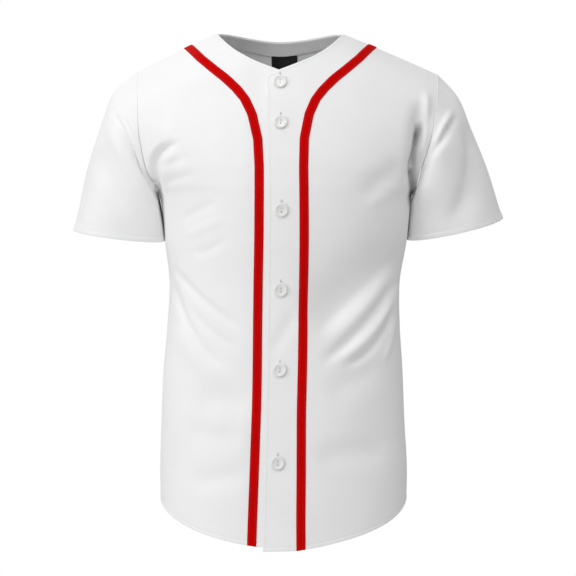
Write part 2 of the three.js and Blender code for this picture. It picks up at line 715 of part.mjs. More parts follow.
for (const [name, front] of Object.entries(FRONTS)) {
  const { grid, braid } = makeFront(front);
  add(`front_${name}`, wall(grid, 0, -WALL), whiteKnit);
  add(`braid_${name}`, wall(braid, SEAM_GAP + BRAID_THICKNESS, SEAM_GAP), redBraid);
  add(`sleeve_${name}`, wall(makeSleeve(name, front.side), 0, -WALL, true), whiteKnit);
}

const back = pullIn(panelGrid(backColumns()), SEAM_GAP / 2, ["first", "last", "top"]);
add("back", wall(back, 0, -WALL), whiteKnit);

// The facing and the label lie on the back's inner face, on its own grid.
const facingRow = ROWS_BELOW_ARM + RISE.indexOf(FACING_FOOT);
const labelRow = ROWS_BELOW_ARM + RISE.indexOf(LABEL_FOOT);
const neckColumn = STEPS_SHOULDER_BACK;
const labelColumn = neckColumn + STEPS_NECK_LEFT;
const neckEnd = labelColumn + STEPS_LABEL + STEPS_NECK_RIGHT;
const partOfBack = (fromColumn, toColumn, fromRow, toRow) =>
  back
    .slice(fromColumn, toColumn + 1)
    .map((column) =>
      column.slice(fromRow, toRow + 1).map(({ point, normal }) => ({ point: point.clone(), normal })),
    );
const lining = -WALL - PANEL_GAP;
const facing = pullIn(
  partOfBack(neckColumn, neckEnd, facingRow, facingRow + 2),
  FACING_PULL,
  ["first", "last"],
);
add("neck_facing", wall(facing, lining, lining - FACING_THICKNESS), whiteKnit);
const label = pullIn(
  partOfBack(labelColumn, labelColumn + STEPS_LABEL, labelRow, facingRow),
  SEAM_GAP,
  ["top"],
);
add("neck_label", wall(label, lining, lining - LABEL_THICKNESS), labelCloth);

BUTTON_HEIGHTS.forEach((z, k) => {
  const row = solve((r) => bodyPoint(0, r).z - z, 0, RIDGE_ROW);
  const { point, normal } = bodyCloth(0, row);
  const button = add(`button_${k + 1}`, buttonGeometry(), buttonPlastic);
  button.position.copy(point).addScaledVector(normal, BUTTON_STANDOFF);
  button.quaternion.setFromUnitVectors(new THREE.Vector3(0, 1, 0), normal);
});

export default jersey;
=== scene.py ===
"""A short-sleeved baseball jersey, filled out as worn with nobody in it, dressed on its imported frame.

Lengths are millimetres until a mesh is made, and metres from there on. +Z is up, the front faces -Y and
the wearer's left is +X, as in the frame.
"""

import logging
import math
from collections.abc import Callable
from dataclasses import dataclass, field, replace
from enum import Enum

import bpy
import numpy as np
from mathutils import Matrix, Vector


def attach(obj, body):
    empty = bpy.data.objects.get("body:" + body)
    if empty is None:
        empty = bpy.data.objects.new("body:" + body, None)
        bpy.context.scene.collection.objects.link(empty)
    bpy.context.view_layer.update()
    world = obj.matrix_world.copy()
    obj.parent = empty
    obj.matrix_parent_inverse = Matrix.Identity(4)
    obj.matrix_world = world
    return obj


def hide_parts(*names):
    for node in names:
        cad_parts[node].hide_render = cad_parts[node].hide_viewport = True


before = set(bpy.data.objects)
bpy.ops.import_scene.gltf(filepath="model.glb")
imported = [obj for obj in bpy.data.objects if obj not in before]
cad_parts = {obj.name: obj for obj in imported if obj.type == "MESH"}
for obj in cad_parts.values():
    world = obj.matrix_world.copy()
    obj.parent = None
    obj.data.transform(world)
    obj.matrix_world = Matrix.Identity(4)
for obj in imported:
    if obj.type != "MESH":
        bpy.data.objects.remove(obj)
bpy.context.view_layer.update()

LOG = logging.getLogger("jersey")
Array = np.ndarray
Curve = Callable[[Array], Array]
MM = 0.001

# Cloth and seams
WALL = 1.4
SEAM_STEP = 0.5
PANEL_GAP = 0.4
TRIM_GAP = 0.3
OVERLAP_GAP = 0.7
LINING = WALL + PANEL_GAP
TRIM_PITCH = 2.8
SLEEVE_SEAM_SHARE = 0.6
TUCK_STARTS = 74.0
TUCK_ENDS = 44.0

# Neck, front edges and hem
NECK_HALF_WIDTH = 92.0
NECK_DROP_FRONT = 60.5
NECK_SLOPE_FRONT = 0.4
NECK_BEND_FRONT = 4.0
NECK_DEPTH_BACK = 55.0
NECK_BEND_BACK = 0.9
OVERLAP_HALF_WIDTH = 19.0
HEM_BACK = -752.0
HEM_SIDE = -672.0
HEM_CURVE = 1.45
HEM_ARCH = 0.06
LABEL_LEFT = 27.0
LABEL_RIGHT = -14.0
LABEL_FOOT = 0.775
FACING_FOOT = 0.913
BUTTON_HEIGHTS = (-79.0, -137.0, -260.0, -371.0, -483.0, -613.0)
UNDERARM_ROW = 9
RIDGE_ROW = 16


class Side(Enum):
    """A side of the wearer."""

    LEFT = 1
    RIGHT = -1

    @property
    def word(self) -> str:
        """The side as a piece's name says it."""
        return self.name.lower()


class Thread(Enum):
    """Threads by their colour, as red, green and blue in linear light."""

    WHITE = (0.86, 0.86, 0.86)
    RED = (0.5, 0.006, 0.008)
    BLACK = (0.016, 0.016, 0.018)


def table(names: str, rows: list[tuple[float, ...]]) -> dict[str, Array]:
    """Reads a table into named columns.

    Args:
        names: the columns' names, with spaces between.
        rows: one tuple a row.

    Returns:
        Each column by its name.
    """
    return dict(zip(names.split(), np.array(rows, float).T, strict=True))


# Sections of the body from below the hem to the shoulders' ridge, and one mirrored past it.
# z: height at the centre; slope: share of the shoulder's slope; set: set back; front, back: depths;
# right, left: edges from x = 0; centre: the button line; armhole: angle where the cloth ends.
BODY = table(
    "z slope set front back right left centre armhole",
    [
        (-770, 0, 0, 123, 121, -171, 181, -5, 90),
        (-700, 0, 0, 121, 119, -172, 182, -4.5, 90),
        (-630, 0, 0, 119, 115, -173.5, 184, -3, 90),
        (-555, 0, 0, 117, 108, -171.5, 180, -1.5, 90),
        (-485, 0, 0, 115, 102, -168.5, 177.5, 0, 90),
        (-420, 0, 0, 114, 99, -163, 173.5, 0.8, 90),
        (-360, 0, 0, 117, 104, -160, 173.5, 1.6, 90),
        (-305, 0, 0, 124, 113, -166, 183, 2.4, 90),
        (-265, 0, 0, 129, 119, -169.5, 187, 2.6, 90),
        (-237, 0, 0, 131, 121, -174.5, 191, 2.6, 90),
        (-218, 0.1, 1, 132, 120.5, -184, 201, 2.5, 80),
        (-185, 0.25, 3, 132, 118, -202, 219, 2.2, 70),
        (-141, 0.42, 6, 127, 112, -223, 241, 1.5, 62),
        (-90, 0.6, 11, 118, 101, -246, 267, 0.8, 55.2),
        (-38, 0.78, 17, 103, 83, -249, 273, 0.3, 55),
        (3, 0.92, 21, 62, 51, -239, 263, 0, 59.8),
        (25.5, 1, 22, 0, 0, -234, 260, 0, 62.2),
        (3, 0.92, 21, -62, -51, -239, 263, 0, 59.8),
    ],
)
SECTION_SQUARENESS = 0.75
SHOULDER_SLOPE = {Side.LEFT: (0.46, 60.0), Side.RIGHT: (0.56, 85.0)}

# The braid's middle line down each front: height, and distance from the button line.
BRAID_LINE = table(
    "z out",
    [
        (-800, 34.5), (-730, 34.5), (-540, 31.5), (-360, 32), (-200, 31), (-160, 32.5), (-125, 40),
        (-104, 49.5), (-89, 61), (-74, 76), (-58, 95), (-42, 112.5), (-24, 128), (-12, 138),
    ],
)  # fmt: skip

# Sleeve sections from armhole to cuff: the ends of each oval, its middle y, its depths and its dip in front.
SLEEVE_NAMES = "outer_x outer_z inner_x inner_z middle_y front back dip"
SLEEVES = {
    Side.LEFT: table(
        SLEEVE_NAMES,
        [
            (230, -59, 192.3, -237, 8, 74, 68, 0),
            (259.5, -91, 187.4, -253, 11, 77, 71, 3),
            (278, -133, 185.7, -268, 15, 77, 72, 6),
            (300.5, -190, 185.0, -282, 20, 75, 72, 8),
            (326.5, -265, 184.3, -297, 26, 71, 71, 10),
        ],
    ),
    Side.RIGHT: table(
        SLEEVE_NAMES,
        [
            (-207, -58, -175.8, -237, 8, 74, 68, 0),
            (-242, -85, -172.7, -253, 11, 77, 71, 3),
            (-261, -128, -170.1, -269, 15, 77, 72, 5),
            (-280.5, -192, -167.9, -285, 20, 75, 72, 6.5),
            (-302.5, -283, -166.3, -300, 26, 71, 71, 7.5),
        ],
    ),
}
ARMHOLE_FADE = 0.45
UNDERARM_FADE = 0.14
SLEEVE_CORNER = {Side.LEFT: 0.8, Side.RIGHT: 0.3}

# Folds as seen from the front or the back: x and z of three points, half width, height (less than 0 for a
# trough), and lean, by which the right-hand side of the line is narrower and the left-hand side wider.
FRONT_FOLDS = [
    (-136, -164, -208, -166, -166, -258, 5.2, -12, 0.25),
    (-140, -182, -170, -180, -160, -224, 8, 3, 0),
    (-164, -84, -166, -116, -158, -150, 8, -2.5, 0),
    (-172, -202, -150, -186, -122, -187, 6.5, -1.5, 0),
    (-166, -222, -144, -212, -112, -208, 6.5, -1.6, 0),
    (-146, -278, -112, -256, -82, -246, 7, -1.6, 0),
    (-140, -294, -108, -288, -76, -268, 7, 1.4, 0),
    (-128, -312, -104, -330, -70, -292, 6, -1.8, 0),
    (-155, -346, -136, -442, -72, -486, 5, -4, 0),
    (-158, -330, -120, -387, -34, -436, 5, -3.5, 0),
    (-130, -388, -106, -432, -50, -458, 5, -2.5, 0),
    (-148, -410, -128, -478, -60, -506, 14, 3, 0),
    (203, -96, 200, -168, 191, -234, 13, -14, 0),
    (208, -80, 210, -140, 203, -190, 6, 6, 0),
    (182, -192, 150, -208, 112, -244, 15, -3.5, 0),
    (176, -226, 146, -232, 116, -262, 10, 2, 0),
    (205, -292, 109, -381, 40, -438, 30, -14, -0.5),
    (182, -335, 140, -418, 50, -482, 8, -8, -0.2),
    (166, -366, 142, -448, 62, -478, 5, 3, 0),
    (168, -384, 142, -466, 84, -480, 5, -5.5, 0),
    (164, -408, 161, -448, 146, -476, 4.5, 2.5, 0),
    (-124, -528, -80, -522, -36, -534, 20, -3.5, 0),
    (-132, -566, -100, -582, -46, -574, 16, -2.5, 0),
    (-128, -642, -90, -636, -40, -628, 15, -3.5, 0),
    (24, -398, 6, -430, -14, -466, 10, -2, 0),
    (60, -520, 110, -500, 150, -470, 18, -3, 0),
    (40, -614, 105, -590, 166, -604, 18, -3.5, 0),
]
# Clefts at the wearer's left armpit, pushed straight back, in the same columns as the folds.
FRONT_CLEFTS = [
    (202, -130, 199, -162, 194, -208, 3.7, 40, 0),
    (196, -172, 194, -212, 187, -258, 7, 46, 0),
]
# How far back (y) a cleft may reach beside the armhole, the heights where that limit eases, and its ease.
CLEFT_LIMIT = -29.0
CLEFT_EASES = (-201.0, -211.0)
CLEFT_EASE = 50.0
# Where folds and clefts die out: the cosine of the angle from the button line, and rows below the ridge.
FOLD_FADE = 0.25
CLEFT_FADE = 0.15
RIDGE_FADE = 2
BACK_FOLDS = [
    (192, -120, 182, -185, 172, -285, 9, -18, 0),
    (-176, -120, -166, -185, -158, -285, 9, -16, 0),
    (170, -250, 130, -232, 84, -190, 12, -4, 0.2),
    (-154, -248, -120, -226, -78, -186, 12, -4, -0.2),
    (164, -360, 100, -404, 24, -398, 12, -6, 0.3),
    (-154, -366, -90, -414, -14, -402, 11, -5.5, -0.3),
    (158, -392, 100, -432, 40, -428, 9, 4, 0),
    (-146, -400, -85, -440, -24, -432, 9, 4, 0),
    (148, -430, 84, -466, 6, -456, 9, -5, 0),
    (-140, -438, -80, -474, -12, -466, 10, -4.5, 0),
    (136, -480, 90, -500, 30, -494, 14, 3, 0),
    (90, -560, 104, -640, 96, -720, 22, 4, 0),
    (-84, -540, -100, -640, -92, -720, 24, 4.5, 0),
    (20, -580, 6, -640, 14, -700, 20, -3, 0),
]
SLEEVE_FOLDS = {
    Side.LEFT: [
        (252, -108, 226, -146, 203, -182, 5, 4.5, 0),
        (258, -118, 233, -154, 208, -190, 4.5, -4.5, 0),
        (264, -122, 298, -200, 236, -290, 17, -7, 0.25),
        (232, -140, 224, -190, 198, -264, 22, 7, 0.5),
    ],
    Side.RIGHT: [
        (-242, -108, -207, -182, -166, -252, 3.6, -8, 0),
        (-252, -126, -220, -190, -180, -256, 10, 4, 0),
        (-232, -112, -204, -160, -182, -206, 3.5, -2.5, 0),
        (-262, -160, -246, -220, -214, -266, 13, -3, 0),
    ],
}


def put(name: str, data: bpy.types.ID) -> bpy.types.Object:
    """A new object for a mesh, a light or a camera, in the scene."""
    obj = bpy.data.objects.new(name, data)
    bpy.context.scene.collection.objects.link(obj)
    return obj


def spline(values: Array, position: Array | float) -> Array:
    """A Catmull-Rom curve through a column's values, one unit of position a row, straight past its ends.

    Args:
        values: the column.
        position: where to read it, a number or an array.

    Returns:
        The values there.
    """
    ends = ([2 * values[0] - values[1]], values, [2 * values[-1] - values[-2]])
    padded = np.concatenate(ends)
    position = np.asarray(position, float)
    start = np.clip(np.floor(position), 0, len(values) - 2).astype(int)
    t = position - start
    a, b, c, d = (padded[start + k] for k in range(4))
    return b + 0.5 * t * (c - a + t * (2 * a - 5 * b + 4 * c - d + t * (3 * (b - c) + d - a)))


def lerp(a: Array | float, b: Array | float, t: Array | float) -> Array:
    """The value at a share t of the way from a to b."""
    return a + (b - a) * t


def smooth_step(start: float, end: float, value: Array) -> Array:
    """Rises smoothly from 0 at start to 1 at end, which may lie below start."""
    t = np.clip((value - start) / (end - start), 0, 1)
    return t * t * (3 - 2 * t)


def solve(rising: Curve, low: Array, high: Array) -> Array:
    """Halves the span between low and high until a rising function passes zero there.

    Args:
        rising: takes and returns an array of low's shape.
        low: where the function is below zero.
        high: where it is above zero.

    Returns:
        The places of the zeros.
    """
    low, high = (np.array(x, float) for x in np.broadcast_arrays(low, high))
    for _ in range(44):
        middle = (low + high) / 2
        below = rising(middle) < 0
        low = np.where(below, middle, low)
        high = np.where(below, high, middle)
    return (low + high) / 2


def unit(vectors: Array) -> Array:
    """The vectors along the last axis, each made one long."""
    return vectors / np.maximum(np.linalg.norm(vectors, axis=-1, keepdims=True), 1e-9)


def spread(near: tuple[float, ...], length: float, steps: int, far: tuple[float, ...] = ()) -> Array:
    """Shares of a length, close together where an edge needs it and even in between.

    Args:
        near: distances from the first end, rising from 0.
        length: the whole length.
        steps: even steps from the last near distance to the last far one.
        far: distances from the other end, rising from 0.

    Returns:
        Shares from 0 to 1.
    """
    ends = [length - d for d in reversed(far)] or [length]
    even = np.linspace(near[-1], ends[0], steps + 1)[1:-1]
    return np.concatenate([near, even, ends]) / length


@dataclass(frozen=True)
class Folds:
    """Soft ridges and troughs, each along a quadratic curve through three points."""

    lines: list[tuple[float, ...]]
    pieces: int = 14
    taper: float = 0.3
    reach: float = 3.2

    def height(self, x: Array, z: Array) -> Array:
        """The height that the folds add, seen from the front or the back.

        Each adds height * taper * exp(-(distance / width)^2), where distance is to the nearest point of
        its curve and taper rises from 0 at both of its ends.

        Args:
            x: across, of any shape.
            z: up, of the same shape.

        Returns:
            Heights of that shape.
        """
        total = np.zeros_like(x)
        t = np.linspace(0, 1, self.pieces + 1)[:, None]
        for x0, z0, x1, z1, x2, z2, width, height, lean in self.lines:
            a, b, c = np.array([x0, z0]), np.array([x1, z1]), np.array([x2, z2])
            curve = (1 - t) ** 2 * a + 2 * t * (1 - t) * b + t * t * c
            room = self.reach * width * (1 + abs(lean))
            low, high = curve.min(0) - room, curve.max(0) + room
            here = (x > low[0]) & (x < high[0]) & (z > low[1]) & (z < high[1])
            if not here.any():
                continue
            start, way = curve[:-1], np.diff(curve, axis=0)
            from_start = np.stack([x[here], z[here]], -1)[:, None, :] - start
            along = np.clip((from_start * way).sum(-1) / (way**2).sum(-1), 0, 1)
            miss = from_start - along[..., None] * way
            distance = np.linalg.norm(miss, axis=-1)
            best = distance.argmin(1)
            row = np.arange(len(best))
            place = (best + along[row, best]) / self.pieces
            turn = way[best, 0] * miss[row, best, 1] - way[best, 1] * miss[row, best, 0]
            wide = width * (1 + lean * np.sign(turn))
            ends = smooth_step(0, self.taper, place) * smooth_step(1, 1 - self.taper, place)
            total[here] += height * ends * np.exp(-((distance[row, best] / wide) ** 2))
        return total


@dataclass(frozen=True)
class Surface:
    """A grid of points on a cloth's face, across and then up, with the way out at each point."""

    points: Array
    normals: Array
    ring: bool = False

    def raised(self, height: Array | float) -> "Surface":
        """The same grid, moved out along its normals by a height a point, or one for all."""
        lift = np.asarray(height, float)[..., None] * self.normals
        return replace(self, points=self.points + lift)

    def lengths(self, axis: int) -> Array:
        """Distances along the grid from its first column (axis 0) or its first row (axis 1)."""
        steps = np.linalg.norm(np.diff(self.points, axis=axis), axis=-1)
        start = np.zeros_like(np.take(steps, [0], axis=axis))
        return np.concatenate([start, np.cumsum(steps, axis=axis)], axis=axis)

    def to_last(self, axis: int) -> Array:
        """Distances along the grid to its last column (axis 0) or its last row (axis 1)."""
        run = self.lengths(axis)
        return np.take(run, [-1], axis=axis) - run

    def cut(self, columns: slice, rows: slice = slice(None)) -> "Surface":
        """A part of the grid."""
        return replace(self, points=self.points[columns, rows], normals=self.normals[columns, rows])

    def backwards(self, axis: int) -> "Surface":
        """The same grid with its columns (axis 0) or its rows (axis 1) in reverse order."""
        return replace(self, points=np.flip(self.points, axis), normals=np.flip(self.normals, axis))

    def inside_out(self) -> "Surface":
        """The same grid with its normals turned round."""
        return replace(self, normals=-self.normals)

    def closed(self) -> "Surface":
        """A ring's grid with its first column repeated at its end; any other grid as it is."""
        if not self.ring:
            return self
        return Surface(*(np.concatenate([v, v[:1]]) for v in (self.points, self.normals)))

    def flat(self) -> tuple[float, float]:
        """The rectangle that it is cut from, in metres: its longest runs across and up."""
        grid = self.closed()
        across, up = grid.lengths(0)[-1].max(), grid.lengths(1)[:, -1].max()
        return round(float(across) * MM, 3), round(float(up) * MM, 3)

    def area(self) -> float:
        """Its area in square metres, each cell taken as the cross product of its diagonals, halved."""
        p = self.closed().points
        one, two = p[1:, 1:] - p[:-1, :-1], p[:-1, 1:] - p[1:, :-1]
        return float(np.linalg.norm(np.cross(one, two), axis=-1).sum() / 2) * MM * MM


@dataclass(frozen=True)
class Line:
    """A line on a cloth, with the way out at each point."""

    points: Array
    normals: Array

    def resampled(self, positions: Array) -> "Line":
        """The line read at distances from its start, of any shape."""
        steps = np.linalg.norm(np.diff(self.points, axis=0), axis=-1)
        run = np.concatenate([[0.0], np.cumsum(steps)])
        read = [
            np.stack([np.interp(positions, run, values[:, k]) for k in range(3)], -1)
            for values in (self.points, self.normals)
        ]
        return Line(read[0], unit(read[1]))

    def length(self) -> float:
        """The line's length."""
        return float(np.linalg.norm(np.diff(self.points, axis=0), axis=-1).sum())


def contour(surface: Surface, run: Array, distance: float, axis: int) -> Line:
    """The line on a surface at one distance from an edge.

    Args:
        surface: the cloth.
        run: the distance of each point from that edge, rising along the axis.
        distance: how far from the edge the line lies.
        axis: 1 for a line across, and 0 for one that goes up.

    Returns:
        The line, one point a column or a row.
    """
    points, normals = surface.points, surface.normals
    if axis == 0:
        points, normals, run = points.swapaxes(0, 1), normals.swapaxes(0, 1), run.T
    step = np.clip((run < distance).sum(1), 1, run.shape[1] - 1)
    line = np.arange(len(step))
    before, after = run[line, step - 1], run[line, step]
    t = ((distance - before) / np.maximum(after - before, 1e-9))[:, None]
    at = [lerp(v[line, step - 1], v[line, step], t) for v in (points, normals)]
    return Line(at[0], unit(at[1]))


@dataclass(frozen=True)
class TurnedEdge:
    """A cloth edge that is turned in and stitched down, as heights over the plain cloth."""

    width: float = 6.0
    swell: float = 0.5
    groove: float = 0.5
    groove_width: float = 1.0
    roll: float = 1.0

    def height(self, distance: Array) -> Array:
        """The doubled cloth's swell, less the stitches' groove and the quarter circle of the rolled edge."""
        swell = self.swell * smooth_step(self.width + 2.5, self.width, distance)
        groove = self.groove * np.exp(-(((distance - self.width) / self.groove_width) ** 2))
        inside = np.clip(1 - distance / self.roll, 0, 1)
        return swell - groove - self.roll * (1 - np.sqrt(1 - inside**2))


# Edges: hem, cuff, placket, neck, and the plain roll at a sewn seam.
HEM_EDGE = TurnedEdge(width=6.0, groove=0.7, groove_width=1.2)
CUFF_EDGE = TurnedEdge(width=8.5, swell=0.8, groove=0.9, groove_width=1.3)
PLACKET_EDGE = TurnedEdge(width=4.5, swell=0.3, groove=0.4)
NECK_EDGE = TurnedEdge(width=5.0, swell=0.3, groove=0.35)
SEAM_EDGE = TurnedEdge(width=0.0, swell=0.0, groove=0.0, roll=0.5)
HEM_DISTANCES = (0, 0.25, 0.6, 1.1, 2.2, 3.8, 5, 5.6, 6, 6.4, 7, 8, 9.4, 11.5, 14.5)
CUFF_DISTANCES = (0, 0.25, 0.6, 1.1, 2.4, 4.4, 6.2, 7.5, 8.1, 8.5, 8.9, 9.5, 10.6, 12.5, 15)
PLACKET_DISTANCES = (0, 0.2, 0.5, 1, 2, 3.2, 4, 4.5, 5, 5.8, 7.4, 9.5)
SEAM_DISTANCES = (0, 0.1, 0.25, 0.5, 2.0)

# Grid steps of the panels, as shares: up to the underarm, on to the ridge, across, and round the shoulders.
ROWS_BELOW_ARM = spread(HEM_DISTANCES, 480, 112)
ROWS_BESIDE_ARM = spread((0,), 330, 84, SEAM_DISTANCES)
COLUMNS_BY_PLACKET = spread(PLACKET_DISTANCES, 46, 11)[:-1, None]
COLUMNS_BY_SEAM = spread((0,), 190, 56, SEAM_DISTANCES)
COLUMNS_BY_SHOULDER = spread(SEAM_DISTANCES, 170, 34)
BRAID_COLUMNS = 4
NECK_COLUMNS = 48
NECK_CORNER_SHARE = 7 / 15


class BodyForm:
    """The body's form: a place is an angle round it, from the button line, and a row of its table."""

    def column(self, name: str, row: Array) -> Array:
        """A column of the table at rows."""
        return spline(BODY[name], row)

    def shoulder_drop(self, x: Array) -> Array:
        """How far the shoulder lies below its height at the centre: slope * (hypot(x, r) - r)."""
        both = zip(SHOULDER_SLOPE[Side.RIGHT], SHOULDER_SLOPE[Side.LEFT])
        slope, rounding = (np.where(x < 0, right, left) for right, left in both)
        return slope * (np.hypot(x, rounding) - rounding)

    def armhole(self, row: Array) -> Array:
        """The angle at which the cloth ends."""
        return np.minimum(self.column("armhole", row), 90)

    def point(self, angle: Array, row: Array) -> Array:
        """The form without folds.

        x is centre + (edge - centre) * sin(angle), y is set - depth * |cos(angle)| ^ squareness, and z is
        the row's height less its share of the shoulder's drop at x.

        Args:
            angle: degrees, of any shape.
            row: of the same shape.

        Returns:
            Points of that shape, with three numbers each.
        """
        across, along = np.sin(np.radians(angle)), np.cos(np.radians(angle))
        centre = self.column("centre", row)
        edge = np.where(across < 0, self.column("right", row), self.column("left", row))
        depth = np.where(along < 0, -self.column("back", row), self.column("front", row))
        x = centre + np.abs(edge - centre) * across
        y = self.column("set", row) - depth * np.abs(along) ** SECTION_SQUARENESS
        z = self.column("z", row) - self.column("slope", row) * self.shoulder_drop(x)
        return np.stack([x, y, z], -1)

    def normal(self, angle: Array, row: Array) -> Array:
        """The way out: the cross product of the steps round and up."""
        turn = self.point(angle + 0.4, row) - self.point(angle - 0.4, row)
        rise = self.point(angle, row + 0.02) - self.point(angle, row - 0.02)
        return unit(np.cross(turn, rise))

    def cloth(self, angle: Array, row: Array) -> Surface:
        """The cloth's outer face, raised by its folds and then pushed back by its clefts."""
        points, normals = self.point(angle, row), self.normal(angle, row)
        along = np.cos(np.radians(angle))
        x, z = points[..., 0], points[..., 2]
        folds = np.where(along < 0, Folds(BACK_FOLDS).height(x, z), Folds(FRONT_FOLDS).height(x, z))
        below_ridge = smooth_step(RIDGE_ROW, RIDGE_ROW - RIDGE_FADE, row)
        facing = smooth_step(0, FOLD_FADE, np.abs(along)) * below_ridge
        cloth = Surface(points, normals).raised(facing * (folds + self.unevenness(x, z, along)))
        cleft = smooth_step(0, CLEFT_FADE, along) * Folds(FRONT_CLEFTS).height(x, z)
        limit = CLEFT_LIMIT + CLEFT_EASE * smooth_step(*CLEFT_EASES, z)
        push = np.minimum(cleft, np.maximum(limit - cloth.points[..., 1], 0))
        return replace(cloth, points=cloth.points + push[..., None] * np.array([0.0, 1.0, 0.0]))

    @staticmethod
    def unevenness(x: Array, z: Array, along: Array) -> Array:
        """Broad soft swells of the cloth: three sine waves, stronger towards the hem."""
        turn = np.where(along < 0, 1.9, 0.0)
        waves = np.sin(x / 31 + z / 83 + turn) + np.sin(x / 19 - z / 57 + 2 * turn + 0.7)
        return waves * (0.28 + 0.3 * smooth_step(-420, -720, z)) + 0.3 * np.sin(z / 26 + x / 47)

    def angle_of_x(self, x: Array, row: Array) -> Array:
        """The angle at which a section passes x, in front."""
        centre = self.column("centre", row)
        edge = np.where(x < centre, self.column("right", row), self.column("left", row))
        return np.degrees(np.arcsin(np.clip((x - centre) / np.abs(edge - centre), -1, 1)))

    def hem_row(self, angle: Array, middle: float) -> Array:
        """The row of the hem: lowest at the middle and highest at the side seams."""
        share = np.arcsin(np.clip(np.abs(np.sin(np.radians(angle))), 0, 1)) / (math.pi / 2)
        whole = math.hypot(1, HEM_ARCH) - HEM_ARCH
        arched = (np.hypot(1 - share, HEM_ARCH) - HEM_ARCH) / whole
        z = middle + (HEM_SIDE - middle) * (1 - arched) ** HEM_CURVE
        return solve(lambda row: self.column("z", row) - z, np.zeros_like(z), UNDERARM_ROW)

    def past_front_neckline(self, point: Array, side: Side) -> Array:
        """How far points lie past the front's shallow V."""
        out = point[..., 0] * side.value / NECK_HALF_WIDTH
        top = BODY["z"][RIDGE_ROW] - self.shoulder_drop(np.array(side.value * NECK_HALF_WIDTH))
        slope = NECK_SLOPE_FRONT * NECK_HALF_WIDTH
        bend = (top + NECK_DROP_FRONT - slope) * np.maximum(out, 0) ** NECK_BEND_FRONT
        return point[..., 2] + NECK_DROP_FRONT - slope * out - bend

    def past_back_neckline(self, point: Array) -> Array:
        """How far points lie past the back's neckline, rounded as seen from above."""
        inside = np.maximum(1 - (point[..., 0] / NECK_HALF_WIDTH) ** 2, 0)
        edge = BODY["set"][RIDGE_ROW] + NECK_DEPTH_BACK * inside**NECK_BEND_BACK
        return edge - point[..., 1]

    def at_front(self, x: Array, z: Array) -> Surface:
        """The front's cloth at places given by x and height, of one shape."""

        def rising(row: Array) -> Array:
            return self.point(self.angle_of_x(x, row), row)[..., 2] - z

        row = solve(rising, np.zeros_like(x), RIDGE_ROW)
        return self.cloth(self.angle_of_x(x, row), row)


